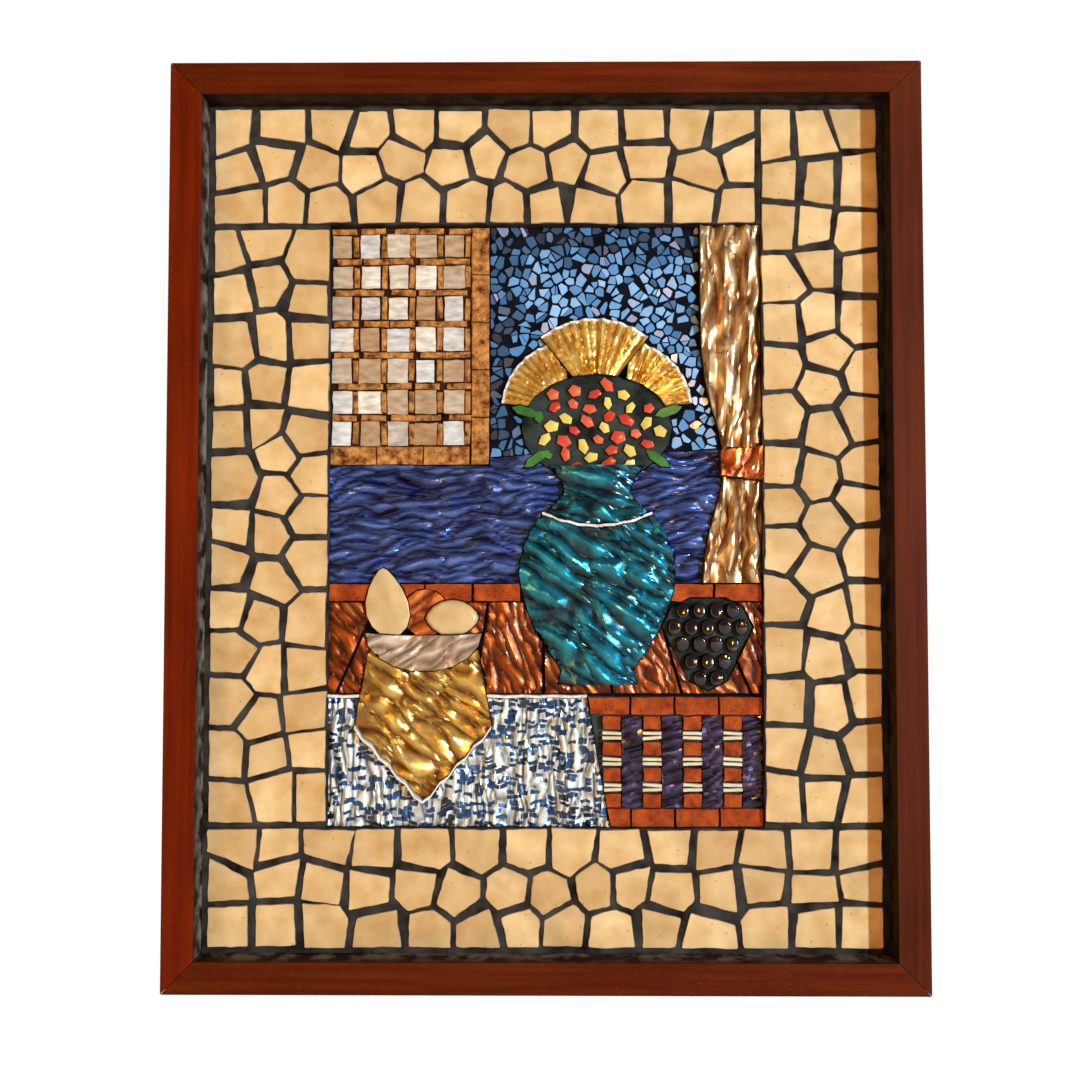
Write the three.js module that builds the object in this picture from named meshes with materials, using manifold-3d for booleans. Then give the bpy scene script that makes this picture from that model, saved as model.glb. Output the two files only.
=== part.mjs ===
// A framed mosaic panel that hangs on a wall: a deep wooden box frame, a raised border of broken cream
// tiles in dark grout, and a sunk picture of glass, shell, tile and crumpled foil that shows a vase of
// flowers on a table by an open window.
// Millimetres, +Z up. The front looks along -Y. The origin is where the panel hangs: on its flat back, at
// the middle of the top rail.

import * as THREE from "three";
import { mergeVertices } from "three/addons/utils/BufferGeometryUtils.js";
import Module from "manifold-3d";

const wasm = await Module();
wasm.setup();

// Frame and board
const OPENING_WIDTH = 610;
const OPENING_HEIGHT = 762;
const RAIL_FACE = 28;
const RAIL_DEPTH = 45;
const BOARD_THICKNESS = 9;
const CLEARANCE = 0.3; // between two pieces that touch

// Tiled border, with rises counted from the board's face
const BORDER_WIDTH = 110;
const BORDER_GROUT_RISE = 12.5;
const BORDER_TILE_RISE = 14;
const BORDER_TILE_UNEVEN = 0.7;
const BORDER_TILE_LENGTH = 42;
const BORDER_ROWS = 3;
const BORDER_EDGE_GROUT = 5; // dark strip between the frame and the first tiles
const BORDER_JOINT = 4.8;
const BORDER_JOINT_UNEVEN = 0.6; // a joint is wider or narrower by up to this share of its width
const TILE_SKEW = 0.1; // most that a tile's edge turns from its neighbour's, in radians
const TILE_ROOT = 1.2; // how deep a tile sits in the grout
const TILE_SHORT_EDGE = 11; // a shorter edge of a broken tile is knocked off
const TILE_EDGE_TRIM = 1.2; // most that a tile's straight outer edge stands back
const TILE_SLIP = 0.46; // most that a tile's middle moves along its row, as a share of its length
const TILE_PUSH = 0.3; // and across it, as a share of the row's width

// Picture, with rises counted from the board's face. It is drawn for a field of this size, and stretched
// where the field that the border leaves has another one.
const DRAWN_WIDTH = 390;
const DRAWN_HEIGHT = 542;
const BED_RISE = 1.5;
const JOINT = 1;
const SKY_RISE = 4;
const SEA_RISE = 3;
const SEA_WRINKLE = 3.5;
const WAVE_HEIGHT = 7;
const WAVE_LENGTH = 214; // from one crest to the next, along a horizon that swells and dies away
const WAVE_SWELL = 509;
const SHUTTER_WIDTH = 144;
const SHUTTER_HEIGHT = 217;
const SHUTTER_BAR_WIDTH = 16;
const SHUTTER_BAR_LENGTH = 44;
const SHUTTER_BAR_RISE = 6;
const PANE_PITCH_X = 25;
const PANE_PITCH_Z = 29;
const PANE_JOINT_X = 8;
const PANE_JOINT_Z = 9;
const PANE_RISE = 4.6;
const PANE_UNEVEN = 0.4;
const PANE_BED_RISE = 3;
const BRICK_WIDTH = 16;
const BRICK_LENGTH = 44;
const BRICK_RISE = 8;
const COLUMN_PITCH = 36;
const COLUMN_WIDTH = 17;
const COLUMN_BRICK = 15;
const SLIVER = 2.8; // a pair of these cream slivers lies between two bricks of a column
const SLIVER_GAP = 1.8;
const COLUMN_STRIP_RISE = 5.5;
const PLANK_WIDTH = 62;
const PLANK_GAP = 3;
const PLANK_RISE = 4.5;
const PLANK_CREASE = 3;
const VASE_HEIGHT = 196;
const VASE_BELLY_RADIUS = 70;
const VASE_NECK_RADIUS = 29;
const VASE_LIP_RADIUS = 42;
const VASE_FOOT_RADIUS = 35;
const VASE_SHOULDER = 0.78; // share of its height at which a white edging crosses it
const VASE_SAG = 12; // how far the edging dips in the middle
const VASE_EDGE_RISE = 6;
const VASE_DOME = 8;
const VASE_CREASE = 6;
const VASE_POINTS = 60;
const PIPING_WIDTH = 2.4;
const PIPING_PROUD = 1; // how far the edging stands above the foil that it follows
const PIPING_WAVE = 0.8;
const BOUQUET_WIDTH = 136;
const BOUQUET_HEIGHT = 96;
const BOUQUET_RISE = 6;
const PETAL_COUNT = 36;
const PETAL_LENGTH = 11;
const PETAL_WIDTH = 8;
const PETAL_UNEVEN = 0.2; // larger or smaller by up to this share
const PETAL_SIDES = 5;
const PETAL_RISE = 8;
const MOUND_SIDES = 20;
const LEAF_COUNT = 5;
const LEAF_SWEEP = 1.2; // angle that the leaves are spread over, in half turns
const LEAF_SIDES = 6;
const LEAF_LENGTH = 26;
const LEAF_WIDTH = 9;
const MIDDLE_PALM_RADIUS = 78;
const SIDE_PALM_RADIUS = 63;
const SIDE_PALM_LEAN = 0.8; // angle that it leans outwards, in radians
const PALM_SPREAD = 1.35; // angle that the foil opens to, in radians
const PALM_RISE = 11;
const PALM_PLEAT = 4;
const PALM_PLEATS = 7;
const PALM_EDGE_DROP = 2; // how much lower the foil's outer edge is than its foot
const PALM_EYE = 0.12; // share of the radius that the pleats leave open at the foot
const BOWL_WIDTH = 104;
const BOWL_HEIGHT = 34;
const BOWL_HOLLOW = 2; // how far the rim dips in the middle
const BOWL_RISE = 8;
const BOWL_CREASE = 4;
const PEAR_HEIGHT = 62;
const PEAR_BELLY = 0.36; // half width at the foot as a share of its height
const PEAR_TAPER = 0.2;
const PEAR_LEAN = 0.12;
const LEMON_WIDTH = 48;
const LEMON_HEIGHT = 33;
const LEMON_POINT = 1.3; // above 1, the ends draw out to points
const ORANGE_RADIUS = 21;
const FRUIT_RISE = 10;
const FRUIT_SIDES = 16;
const GRAPE_LENGTH = 17;
const GRAPE_WIDTH = 14;
const GRAPE_RISE = 9;
const GRAPE_ROWS = [4, 5, 4, 3, 2];
const GRAPE_ROW_STEP = 0.9; // share of a grape's length
const GRAPE_SIDES = 6;
const GRAPE_BED_RISE = 3.6;
const GRAPE_BED_MARGIN = 2.8;
const CURTAIN_WIDTH = 54;
const CURTAIN_WAIST = 33;
const CURTAIN_RISE = 4;
const CURTAIN_FOLD = 9;
const CURTAIN_FOLDS = 2.5;
const CURTAIN_SWAY = 0.15; // how much of a fold its folds wander
const TIE_HEIGHT = 30;
const TIE_OVERLAP = 4; // how far the tie shows past the curtain's waist
const TIE_TAPER = 0.75; // its height at the free side, as a share of that at the other
const TIE_RISE = 15;
const TIE_CREASE = 4;
const CLOTH_WIDTH = 232;
const CLOTH_RISE = 4;
const CLOTH_FOLD = 5;
const CLOTH_FOLDS = 7;
const CLOTH_FLARE = 20; // how far its free edge spreads on the way down
const NAPKIN_WIDTH = 122;
const NAPKIN_TOP_WIDTH = 98;
const NAPKIN_DROP = 132;
const NAPKIN_SIDE_DROP = 66;
const NAPKIN_SCALLOP = 3;
const NAPKIN_SCALLOPS = 8;
const NAPKIN_RISE = 6;
const NAPKIN_CREASE = 7;
const CREASE_WIDTH = 30;
const CREASE_PITCH = 17; // how far apart the modelled points of crumpled foil are
const CREASE_DOWN = -0.72; // angles of the creases to the level, in radians
const CREASE_UP = 0.5;
const CREASE_STEEP = 1.2;
const CREASE_LEVEL = 0.05;
const CREASE_KINK = 0.4; // how far a crease wanders to the side, as a share of its width
const CREASE_KINK_LENGTH = 2.6; // how long it takes to wander there and back, likewise
const FINE_CREASE = 0.6; // width of the finer creases between, likewise
const FINE_CREASE_LENGTH = 4.1;
const FINE_CREASE_HEIGHT = 0.35; // their share of the whole height

// Places in the picture, as shares of its width from the left and of its height from the bottom
const HORIZON = 0.62;
const SILL_TOP = 0.4;
const TABLE_EDGE = 0.215;
const VASE_PLACE = [0.62, 0.235];
const BOUQUET_PLACE = [0.62, 0.66];
const MIDDLE_PALM_PLACE = [0.615, 0.7];
const LEFT_PALM_PLACE = [0.56, 0.69];
const RIGHT_PALM_PLACE = [0.68, 0.69];
const BOWL_PLACE = [0.22, 0.318];
const PEAR_PLACE = [0.145, 0.312];
const LEMON_PLACE = [0.285, 0.313];
const ORANGE_PLACE = [0.225, 0.352];
const GRAPES_PLACE = [0.875, 0.3];
const NAPKIN_PLACE = [0.22, 0.29];
const TIE_PLACE = 0.6;

const PICTURE_WIDTH = OPENING_WIDTH - 2 * BORDER_WIDTH;
const PICTURE_HEIGHT = OPENING_HEIGHT - 2 * BORDER_WIDTH;
const STRETCH = [PICTURE_WIDTH / DRAWN_WIDTH, 1, PICTURE_HEIGHT / DRAWN_HEIGHT];
const LEFT = -DRAWN_WIDTH / 2 + CLEARANCE;
const RIGHT = DRAWN_WIDTH / 2 - CLEARANCE;
const BOTTOM = -DRAWN_HEIGHT / 2 + CLEARANCE;
const TOP = DRAWN_HEIGHT / 2 - CLEARANCE;
const ON_BED = BED_RISE + CLEARANCE;
const across = (share) => (share - 0.5) * DRAWN_WIDTH;
const up = (share) => (share - 0.5) * DRAWN_HEIGHT;
const place = ([u, v]) => [across(u), up(v)];

const COLOURS = {
  frame_wood: [0x6e2410, 0.45, 0],
  board_wood: [0xb08a5c, 0.8, 0],
  border_tile: [0xe2bb7d, 0.45, 0],
  bed_grout: [0x2b2a2b, 0.9, 0],
  blue_glass: [0x5e93cf, 0.2, 0],
  shell: [0xdcd5bf, 0.25, 0],
  blue_foil: [0x27307a, 0.3, 0.8],
  brick_tile: [0xa3492a, 0.7, 0],
  plank_foil: [0xa4601f, 0.35, 0.6],
  teal_foil: [0x0b7f92, 0.25, 0.9],
  piping: [0xefe7d6, 0.6, 0],
  flower_glass: [0xd9452e, 0.2, 0],
  gold_foil: [0xcf9a2c, 0.25, 0.95],
  cream_foil: [0xd8c8a8, 0.4, 0.4],
  fruit_ceramic: [0xdbb15c, 0.3, 0],
  black_glass: [0x0c0c0e, 0.1, 0],
  champagne_foil: [0xc59a63, 0.3, 0.8],
  orange_foil: [0xd0602a, 0.3, 0.7],
  patterned_foil: [0xb9c4d6, 0.35, 0.6],
};

// The same numbers each run, from 0 to 1
function randomFrom(seed) {
  let state = seed;
  return () => {
    state = (state * 1664525 + 1013904223) % 4294967296;
    return state / 4294967296;
  };
}

function solidFrom(geometry) {
  const plain = new THREE.BufferGeometry();
  plain.setAttribute("position", geometry.getAttribute("position"));
  plain.setIndex(geometry.getIndex());
  const merged = mergeVertices(plain, 1e-4);
  return new wasm.Manifold(
    new wasm.Mesh({
      numProp: 3,
      vertProperties: merged.attributes.position.array,
      triVerts: new Uint32Array(merged.index.array),
    }),
  );
}

// An outline of [x, z] points as a flat slab between two rises above the board's face
function slab(points, low, high) {
  const shape = new THREE.Shape(points.map(([x, z]) => new THREE.Vector2(x, z)));
  const made = new THREE.ExtrudeGeometry(shape, { depth: high - low, bevelEnabled: false });
  made.rotateX(Math.PI / 2);
  made.translate(0, -(BOARD_THICKNESS + low), 0);
  return solidFrom(made);
}

function rectangle(x0, z0, x1, z1) {
  return [
    [x0, z0],
    [x1, z0],
    [x1, z1],
    [x0, z1],
  ];
}

function ellipse([cx, cz], rx, rz, sides, turn = 0) {
  return Array.from({ length: sides }, (_, i) => {
    const a = (2 * Math.PI * i) / sides;
    const [x, z] = [rx * Math.cos(a), rz * Math.sin(a)];
    return [
      cx + x * Math.cos(turn) - z * Math.sin(turn),
      cz + x * Math.sin(turn) + z * Math.cos(turn),
    ];
  });
}

// The outline moved outwards everywhere
function grown(points, by) {
  return points.map(([x, z], i) => {
    const [ax, az] = points[(i + points.length - 1) % points.length];
    const [bx, bz] = points[(i + 1) % points.length];
    const before = new THREE.Vector2(z - az, ax - x).normalize();
    const after = new THREE.Vector2(bz - z, x - bx).normalize();
    const out = before.clone().add(after).normalize();
    const reach = by / Math.max(out.dot(before), 0.5);
    return [x + out.x * reach, z + out.y * reach];
  });
}

function boundsOf(points) {
  const xs = points.map((p) => p[0]);
  const zs = points.map((p) => p[1]);
  return [Math.min(...xs), Math.min(...zs), Math.max(...xs), Math.max(...zs)];
}

// A slab with a modelled front: riseAt gives the front's rise at a point, on a grid of the given pitch that
// starts one step outside the outline's lowest corner
function relief(points, riseAt, pitchX, pitchZ) {
  const [x0, z0, x1, z1] = boundsOf(points);
  const nx = Math.ceil((x1 - x0) / pitchX) + 2;
  const nz = Math.ceil((z1 - z0) / pitchZ) + 2;
  const position = [];
  for (const front of [true, false]) {
    for (let j = 0; j <= nz; j++) {
      for (let i = 0; i <= nx; i++) {
        const x = x0 + (i - 1) * pitchX;
        const z = z0 + (j - 1) * pitchZ;
        const rise = front ? riseAt(x, z) : ON_BED;
        position.push(x, -(BOARD_THICKNESS + rise), z);
      }
    }
  }
  const index = [];
  const row = nx + 1;
  const back = row * (nz + 1);
  const quad = (a, b, c, d) => index.push(a, b, c, a, c, d);
  for (let j = 0; j < nz; j++) {
    for (let i = 0; i < nx; i++) {
      const a = j * row + i;
      quad(a, a + 1, a + row + 1, a + row);
      quad(back + a, back + a + row, back + a + row + 1, back + a + 1);
    }
  }
  for (let i = 0; i < nx; i++) {
    const far = nz * row + i;
    quad(back + i, back + i + 1, i + 1, i);
    quad(far, far + 1, back + far + 1, back + far);
  }
  for (let j = 0; j < nz; j++) {
    const near = j * row;
    const far = near + nx;
    quad(near, near + row, back + near + row, back + near);
    quad(back + far, back + far + row, far + row, far);
  }
  const sheet = new THREE.BufferGeometry();
  sheet.setAttribute("position", new THREE.BufferAttribute(new Float32Array(position), 3));
  sheet.setIndex(index);
  const tall = slab(points, ON_BED - JOINT, RAIL_DEPTH);
  return solidFrom(sheet).intersect(tall);
}

// A zigzag from 0 to 1 and back as t goes up by 1
const zigzag = (t) => 1 - Math.abs(2 * (t - Math.floor(t)) - 1);

// The height, from 0 to 1, of the creases in crumpled foil that lie at an angle
function crease(x, z, angle, width) {
  const along = x * Math.cos(angle) + z * Math.sin(angle);
  const over = z * Math.cos(angle) - x * Math.sin(angle);
  const kink = CREASE_KINK * zigzag(along / (CREASE_KINK_LENGTH * width));
  const wide = zigzag(over / width + kink);
  const narrow = zigzag(over / (FINE_CREASE * width) + along / (FINE_CREASE_LENGTH * width));
  return (1 - FINE_CREASE_HEIGHT) * wide + FINE_CREASE_HEIGHT * narrow;
}

// The part of a convex outline on the side of the line through a point that faces away from its normal
function clipped(points, px, pz, nx, nz) {
  const side = ([x, z]) => (x - px) * nx + (z - pz) * nz;
  const kept = [];
  points.forEach((p, i) => {
    const q = points[(i + 1) % points.length];
    const [sp, sq] = [side(p), side(q)];
    if (sp <= 0) kept.push(p);
    if (sp < 0 !== sq < 0 && sp !== 0 && sq !== 0) {
      const t = sp / (sp - sq);
      kept.push([p[0] + (q[0] - p[0]) * t, p[1] + (q[1] - p[1]) * t]);
    }
  });
  return kept;
}

// Short edges become one corner, as on a nipped tile
function withoutShortEdges(points, shortest) {
  const kept = points.slice();
  for (let i = 0; i < kept.length && kept.length > 4; ) {
    const p = kept[i];
    const q = kept[(i + 1) % kept.length];
    if (Math.hypot(p[0] - q[0], p[1] - q[1]) < shortest) {
      kept[i] = [(p[0] + q[0]) / 2, (p[1] + q[1]) / 2];
      kept.splice((i + 1) % kept.length, 1);
      i = 0;
    } else {
      i++;
    }
  }
  return kept;
}

const panel = new THREE.Group();

function add(name, slot, solid) {
  const { numProp, vertProperties, triVerts, numVert } = solid.getMesh();
  const position = new Float32Array(numVert * 3);
  for (let i = 0; i < numVert; i++) {
    position.set(vertProperties.subarray(i * numProp, i * numProp + 3), i * 3);
  }
  const geometry = new THREE.BufferGeometry();
  geometry.setAttribute("position", new THREE.BufferAttribute(position, 3));
  geometry.setIndex(new THREE.BufferAttribute(triVerts, 1));
  geometry.computeVertexNormals();
  const [color, roughness, metalness] = COLOURS[slot];
  const material = new THREE.MeshStandardMaterial({ color, roughness, metalness });
  const mesh = new THREE.Mesh(geometry, material);
  mesh.name = name;
  panel.add(mesh);
}

// The picture is laid from the front pieces to the back ones. Each new piece is trimmed to what is
// already there, with a joint between, and a piece that this cuts in two becomes two.
const SMALLEST_PIECE = 400; // in cubic millimetres; what is smaller is left as bare bed
const laid = [];

function lay(name, slot, solid, ...footprints) {
  let left = solid;
  for (const taken of laid) left = left.subtract(taken);
  const bodies = left.decompose().filter((body) => body.volume() > SMALLEST_PIECE);
  bodies.sort((a, b) => b.volume() - a.volume());
  const names = [name].flat();
  bodies.forEach((body, i) => add(names[i] ?? `${names[0]}_${i + 1}`, slot, body.scale(STRETCH)));
  footprints.forEach((points) => laid.push(slab(grown(points, JOINT), 0, RAIL_DEPTH)));
}

function addFrame() {
  const outerX = OPENING_WIDTH / 2 + RAIL_FACE;
  const outerZ = OPENING_HEIGHT / 2 + RAIL_FACE;
  const mitre = CLEARANCE * Math.SQRT1_2; // each mitre is drawn back by this along the rail
  const level = [
    [-outerX + mitre, outerZ],
    [-OPENING_WIDTH / 2 + mitre, OPENING_HEIGHT / 2],
    [OPENING_WIDTH / 2 - mitre, OPENING_HEIGHT / 2],
    [outerX - mitre, outerZ],
  ];
  const upright = [
    [outerX, outerZ - mitre],
    [OPENING_WIDTH / 2, OPENING_HEIGHT / 2 - mitre],
    [OPENING_WIDTH / 2, -OPENING_HEIGHT / 2 + mitre],
    [outerX, -outerZ + mitre],
  ];
  const rail = (points) => slab(points, -BOARD_THICKNESS, RAIL_DEPTH - BOARD_THICKNESS);
  add("frame_top_rail", "frame_wood", rail(level));
  add("frame_bottom_rail", "frame_wood", rail(level.map(([x, z]) => [x, -z]).reverse()));
  add("frame_right_stile", "frame_wood", rail(upright));
  add("frame_left_stile", "frame_wood", rail(upright.map(([x, z]) => [-x, z]).reverse()));
}

function addBoard() {
  const halfX = OPENING_WIDTH / 2 - CLEARANCE;
  const halfZ = OPENING_HEIGHT / 2 - CLEARANCE;
  const outline = rectangle(-halfX, -halfZ, halfX, halfZ);
  add("backing_board", "board_wood", slab(outline, -BOARD_THICKNESS, 0));
}

// Middles of one strip's tiles, in rows along the frame, each moved a little by chance
function tileMiddles([x0, z0, x1, z1], random) {
  const isUpright = z1 - z0 > x1 - x0;
  const [length, width] = isUpright ? [z1 - z0, x1 - x0] : [x1 - x0, z1 - z0];
  const middles = [];
  for (let row = 0; row < BORDER_ROWS; row++) {
    const isInner = row > 0 && row < BORDER_ROWS - 1;
    const count = Math.round(length / BORDER_TILE_LENGTH) + (isInner ? 1 : 0);
    for (let k = 0; k < count; k++) {
      const slip = TILE_SLIP * (random() - 0.5);
      const push = TILE_PUSH * (random() - 0.5) * (isInner ? 2 : 1);
      const along = ((k + 0.5 + slip) / count) * length;
      const over = ((row + 0.5 + push) / BORDER_ROWS) * width;
      middles.push(isUpright ? [x0 + over, z0 + along] : [x0 + along, z0 + over]);
    }
  }
  return middles;
}

// One broken tile for each middle: the ground nearer to it than to any other, less its joints
function tileOutlines(field, random) {
  const [x0, z0, x1, z1] = field;
  const middles = tileMiddles(field, random);
  return middles.map(([mx, mz]) => {
    const trim = () => TILE_EDGE_TRIM * random();
    let outline = rectangle(x0 + trim(), z0 + trim(), x1 - trim(), z1 - trim());
    for (const [ox, oz] of middles) {
      const apart = Math.hypot(ox - mx, oz - mz);
      if (apart === 0) continue;
      const [nx, nz] = [(ox - mx) / apart, (oz - mz) / apart];
      const uneven = 1 + BORDER_JOINT_UNEVEN * (2 * random() - 1);
      const reach = apart / 2 - (BORDER_JOINT / 2) * uneven;
      const skew = TILE_SKEW * (random() - 0.5);
      outline = clipped(outline, mx + nx * reach, mz + nz * reach, nx - nz * skew, nz + nx * skew);
    }
    return withoutShortEdges(outline, TILE_SHORT_EDGE);
  });
}

// The box [left, bottom, right, top] drawn in by a step for each side
function drawnIn([x0, z0, x1, z1], [left, bottom, right, top]) {
  return [x0 + left, z0 + bottom, x1 - right, z1 - top];
}

// Each strip of the border runs past one neighbour and stops against the next, as it was laid
function addBorder() {
  const random = randomFrom(20);
  const [innerX, innerZ] = [PICTURE_WIDTH / 2, PICTURE_HEIGHT / 2];
  const [outerX, outerZ] = [OPENING_WIDTH / 2, OPENING_HEIGHT / 2];
  const boxes = {
    left: [-outerX, -innerZ, -innerX, innerZ],
    right: [innerX, -innerZ, outerX, outerZ],
    top: [-outerX, innerZ, innerX, outerZ],
    bottom: [-outerX, -outerZ, outerX, -innerZ],
  };
  // What is beyond each strip's left, bottom, right and top side
  const beyond = {
    left: ["frame", "strip", "picture", "strip"],
    right: ["picture", "strip", "frame", "frame"],
    top: ["frame", "picture", "strip", "frame"],
    bottom: ["frame", "frame", "frame", "picture"],
  };
  const bedGap = { frame: CLEARANCE, strip: CLEARANCE, picture: 0 };
  const tileGap = { frame: BORDER_EDGE_GROUT, strip: BORDER_JOINT, picture: CLEARANCE };
  for (const [name, box] of Object.entries(boxes)) {
    const bed = rectangle(...drawnIn(box, beyond[name].map((side) => bedGap[side])));
    const field = drawnIn(box, beyond[name].map((side) => tileGap[side]));
    const parts = [slab(bed, CLEARANCE, BORDER_GROUT_RISE)];
    for (const outline of tileOutlines(field, random)) {
      const rise = BORDER_TILE_RISE - BORDER_TILE_UNEVEN * random();
      parts.push(slab(outline, BORDER_GROUT_RISE - TILE_ROOT, rise));
    }
    add(`border_tiles_${name}`, "border_tile", wasm.Manifold.union(parts));
  }
}

function addPictureBed() {
  const bed = slab(rectangle(LEFT, BOTTOM, RIGHT, TOP), CLEARANCE, BED_RISE);
  add("picture_bed", "bed_grout", bed.scale(STRETCH));
}

// Grapes in rows on a bed of their own
function layGrapes() {
  const [cx, cz] = place(GRAPES_PLACE);
  const rowStep = GRAPE_LENGTH * GRAPE_ROW_STEP;
  const step = GRAPE_WIDTH + JOINT;
  const grape = (middle) =>
    slab(
      ellipse(middle, GRAPE_LENGTH / 2, GRAPE_WIDTH / 2, GRAPE_SIDES, Math.PI / 2),
      ON_BED,
      GRAPE_RISE,
    );
  const half = (GRAPE_ROWS.length * rowStep) / 2;
  const grapes = [];
  const leftSide = [];
  const rightSide = [];
  GRAPE_ROWS.forEach((count, r) => {
    const z = cz + half - (r + 0.5) * rowStep;
    const x = cx - (count * step) / 2;
    leftSide.push([x, z]);
    rightSide.unshift([x + count * step, z]);
    for (let k = 0; k < count; k++) grapes.push(grape([x + (k + 0.5) * step, z]));
  });
  const top = [
    [cx + step, cz + half],
    [cx - step, cz + half],
  ];
  const outline = grown([...top, ...leftSide, [cx, cz - half], ...rightSide], GRAPE_BED_MARGIN);
  const bed = slab(outline, ON_BED, GRAPE_BED_RISE);
  const within = slab(outline, 0, RAIL_DEPTH);
  const bunch = wasm.Manifold.union([bed, ...grapes]).intersect(within);
  lay("grape_bunch", "black_glass", bunch, outline);
}

function layBowl() {
  const [cx, cz] = place(BOWL_PLACE);
  const steps = 9;
  const outline = Array.from({ length: steps + 1 }, (_, i) => {
    const a = Math.PI + (Math.PI * i) / steps;
    return [cx + (BOWL_WIDTH / 2) * Math.cos(a), cz + BOWL_HEIGHT * Math.sin(a)];
  });
  outline.push([cx + BOWL_WIDTH / 4, cz - BOWL_HOLLOW], [cx - BOWL_WIDTH / 4, cz - BOWL_HOLLOW]);
  const riseAt = (x, z) => BOWL_RISE + BOWL_CREASE * crease(x, z, CREASE_UP, CREASE_WIDTH);
  lay("fruit_bowl", "cream_foil", relief(outline, riseAt, CREASE_PITCH, CREASE_PITCH), outline);
}

function layFruit() {
  const [px, pz] = place(PEAR_PLACE);
  const pear = Array.from({ length: FRUIT_SIDES }, (_, i) => {
    const a = (2 * Math.PI * i) / FRUIT_SIDES - Math.PI / 2;
    const t = (Math.sin(a) + 1) / 2;
    const halfWidth = PEAR_HEIGHT * (PEAR_BELLY - PEAR_TAPER * t * t);
    const z = PEAR_HEIGHT * t;
    return [px + halfWidth * Math.cos(a) - PEAR_LEAN * z, pz + z];
  });
  lay("pear", "fruit_ceramic", slab(pear, ON_BED, FRUIT_RISE), pear);
  const [lx, lz] = place(LEMON_PLACE);
  const lemon = Array.from({ length: FRUIT_SIDES }, (_, i) => {
    const a = (2 * Math.PI * i) / FRUIT_SIDES;
    const bulge = Math.abs(Math.sin(a)) ** LEMON_POINT * Math.sign(Math.sin(a));
    return [lx + (LEMON_WIDTH / 2) * Math.cos(a), lz + (LEMON_HEIGHT / 2) * (1 + bulge)];
  });
  lay("lemon", "fruit_ceramic", slab(lemon, ON_BED, FRUIT_RISE), lemon);
  const orange = ellipse(place(ORANGE_PLACE), ORANGE_RADIUS, ORANGE_RADIUS, FRUIT_SIDES);
  lay("orange", "orange_foil", slab(orange, ON_BED, FRUIT_RISE), orange);
}

// White edging along a run of points, a little proud of the foil whose rise is given
function layPiping(name, path, riseAt, pitch) {
  const back = path.slice(1, -1).reverse();
  const side = (points, by) => points.map(([x, z]) => [x, z + by]);
  const half = PIPING_WIDTH / 2;
  const outline = [...side(path, -half), ...side([...path.slice(-1), ...back, path[0]], half)];
  const edging = relief(outline, (x, z) => riseAt(x, z) + PIPING_PROUD, pitch, pitch);
  lay(name, "piping", edging, outline);
}

function layNapkin() {
  const [cx, topZ] = place(NAPKIN_PLACE);
  const half = NAPKIN_WIDTH / 2;
  const steps = 2 * NAPKIN_SCALLOPS;
  const riseAt = (x, z) => NAPKIN_RISE + NAPKIN_CREASE * crease(x, z, CREASE_DOWN, CREASE_WIDTH);
  const hem = Array.from({ length: steps + 1 }, (_, i) => {
    const t = (2 * i) / steps - 1;
    const drop = NAPKIN_DROP - (NAPKIN_DROP - NAPKIN_SIDE_DROP) * Math.abs(t);
    return [cx + half * t, topZ - drop - (i % 2) * NAPKIN_SCALLOP];
  });
  const edging = hem.map(([x, z]) => [x, z - PIPING_WIDTH]);
  layPiping("napkin_piping", edging, () => NAPKIN_RISE + NAPKIN_CREASE, NAPKIN_WIDTH);
  const outline = [...hem, [cx + NAPKIN_TOP_WIDTH / 2, topZ], [cx - NAPKIN_TOP_WIDTH / 2, topZ]];
  lay("gold_napkin", "gold_foil", relief(outline, riseAt, CREASE_PITCH, CREASE_PITCH), outline);
}

// The vase from its foot to its lip, as half widths at shares of its height
const vaseSide = new THREE.SplineCurve(
  [
    [VASE_FOOT_RADIUS, 0],
    [VASE_FOOT_RADIUS * 0.9, 0.06],
    [VASE_BELLY_RADIUS * 0.82, 0.27],
    [VASE_BELLY_RADIUS, 0.52],
    [VASE_BELLY_RADIUS * 0.8, 0.73],
    [VASE_NECK_RADIUS, 0.87],
    [VASE_LIP_RADIUS, 1],
  ].map(([r, t]) => new THREE.Vector2(r, t)),
).getPoints(VASE_POINTS);

function vaseRadius(share) {
  const within = Math.min(Math.max(share, 0), 1);
  const after = Math.max(1, vaseSide.findIndex((p) => p.y >= within));
  const [a, b] = [vaseSide[after - 1], vaseSide[after]];
  return a.x + ((b.x - a.x) * (within - a.y)) / (b.y - a.y);
}

function layVase() {
  const [cx, footZ] = place(VASE_PLACE);
  const riseAt = (x, z) => {
    const across = (x - cx) / vaseRadius((z - footZ) / VASE_HEIGHT);
    const round = Math.sqrt(Math.max(0, 1 - across * across));
    return VASE_EDGE_RISE + VASE_DOME * round + VASE_CREASE * crease(x, z, CREASE_DOWN, CREASE_WIDTH);
  };
  const bends = 12;
  const shoulder = Array.from({ length: bends + 1 }, (_, i) => {
    const t = (2 * i) / bends - 1;
    const x = cx + t * (vaseRadius(VASE_SHOULDER) + PIPING_WIDTH);
    const z = footZ + VASE_SHOULDER * VASE_HEIGHT - VASE_SAG * (1 - t * t);
    return [x, z + (i % 2) * PIPING_WAVE];
  });
  layPiping("vase_piping", shoulder, riseAt, CREASE_PITCH);
  const steps = 16;
  const side = Array.from({ length: steps + 1 }, (_, i) => [
    vaseRadius(i / steps),
    footZ + (i / steps) * VASE_HEIGHT,
  ]);
  const right = side.map(([r, z]) => [cx + r, z]);
  const left = side.map(([r, z]) => [cx - r, z]).reverse();
  const outline = [...right, ...left];
  const foil = relief(outline, riseAt, CREASE_PITCH, CREASE_PITCH);
  lay(["vase_body", "vase_neck"], "teal_foil", foil, outline);
}

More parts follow.
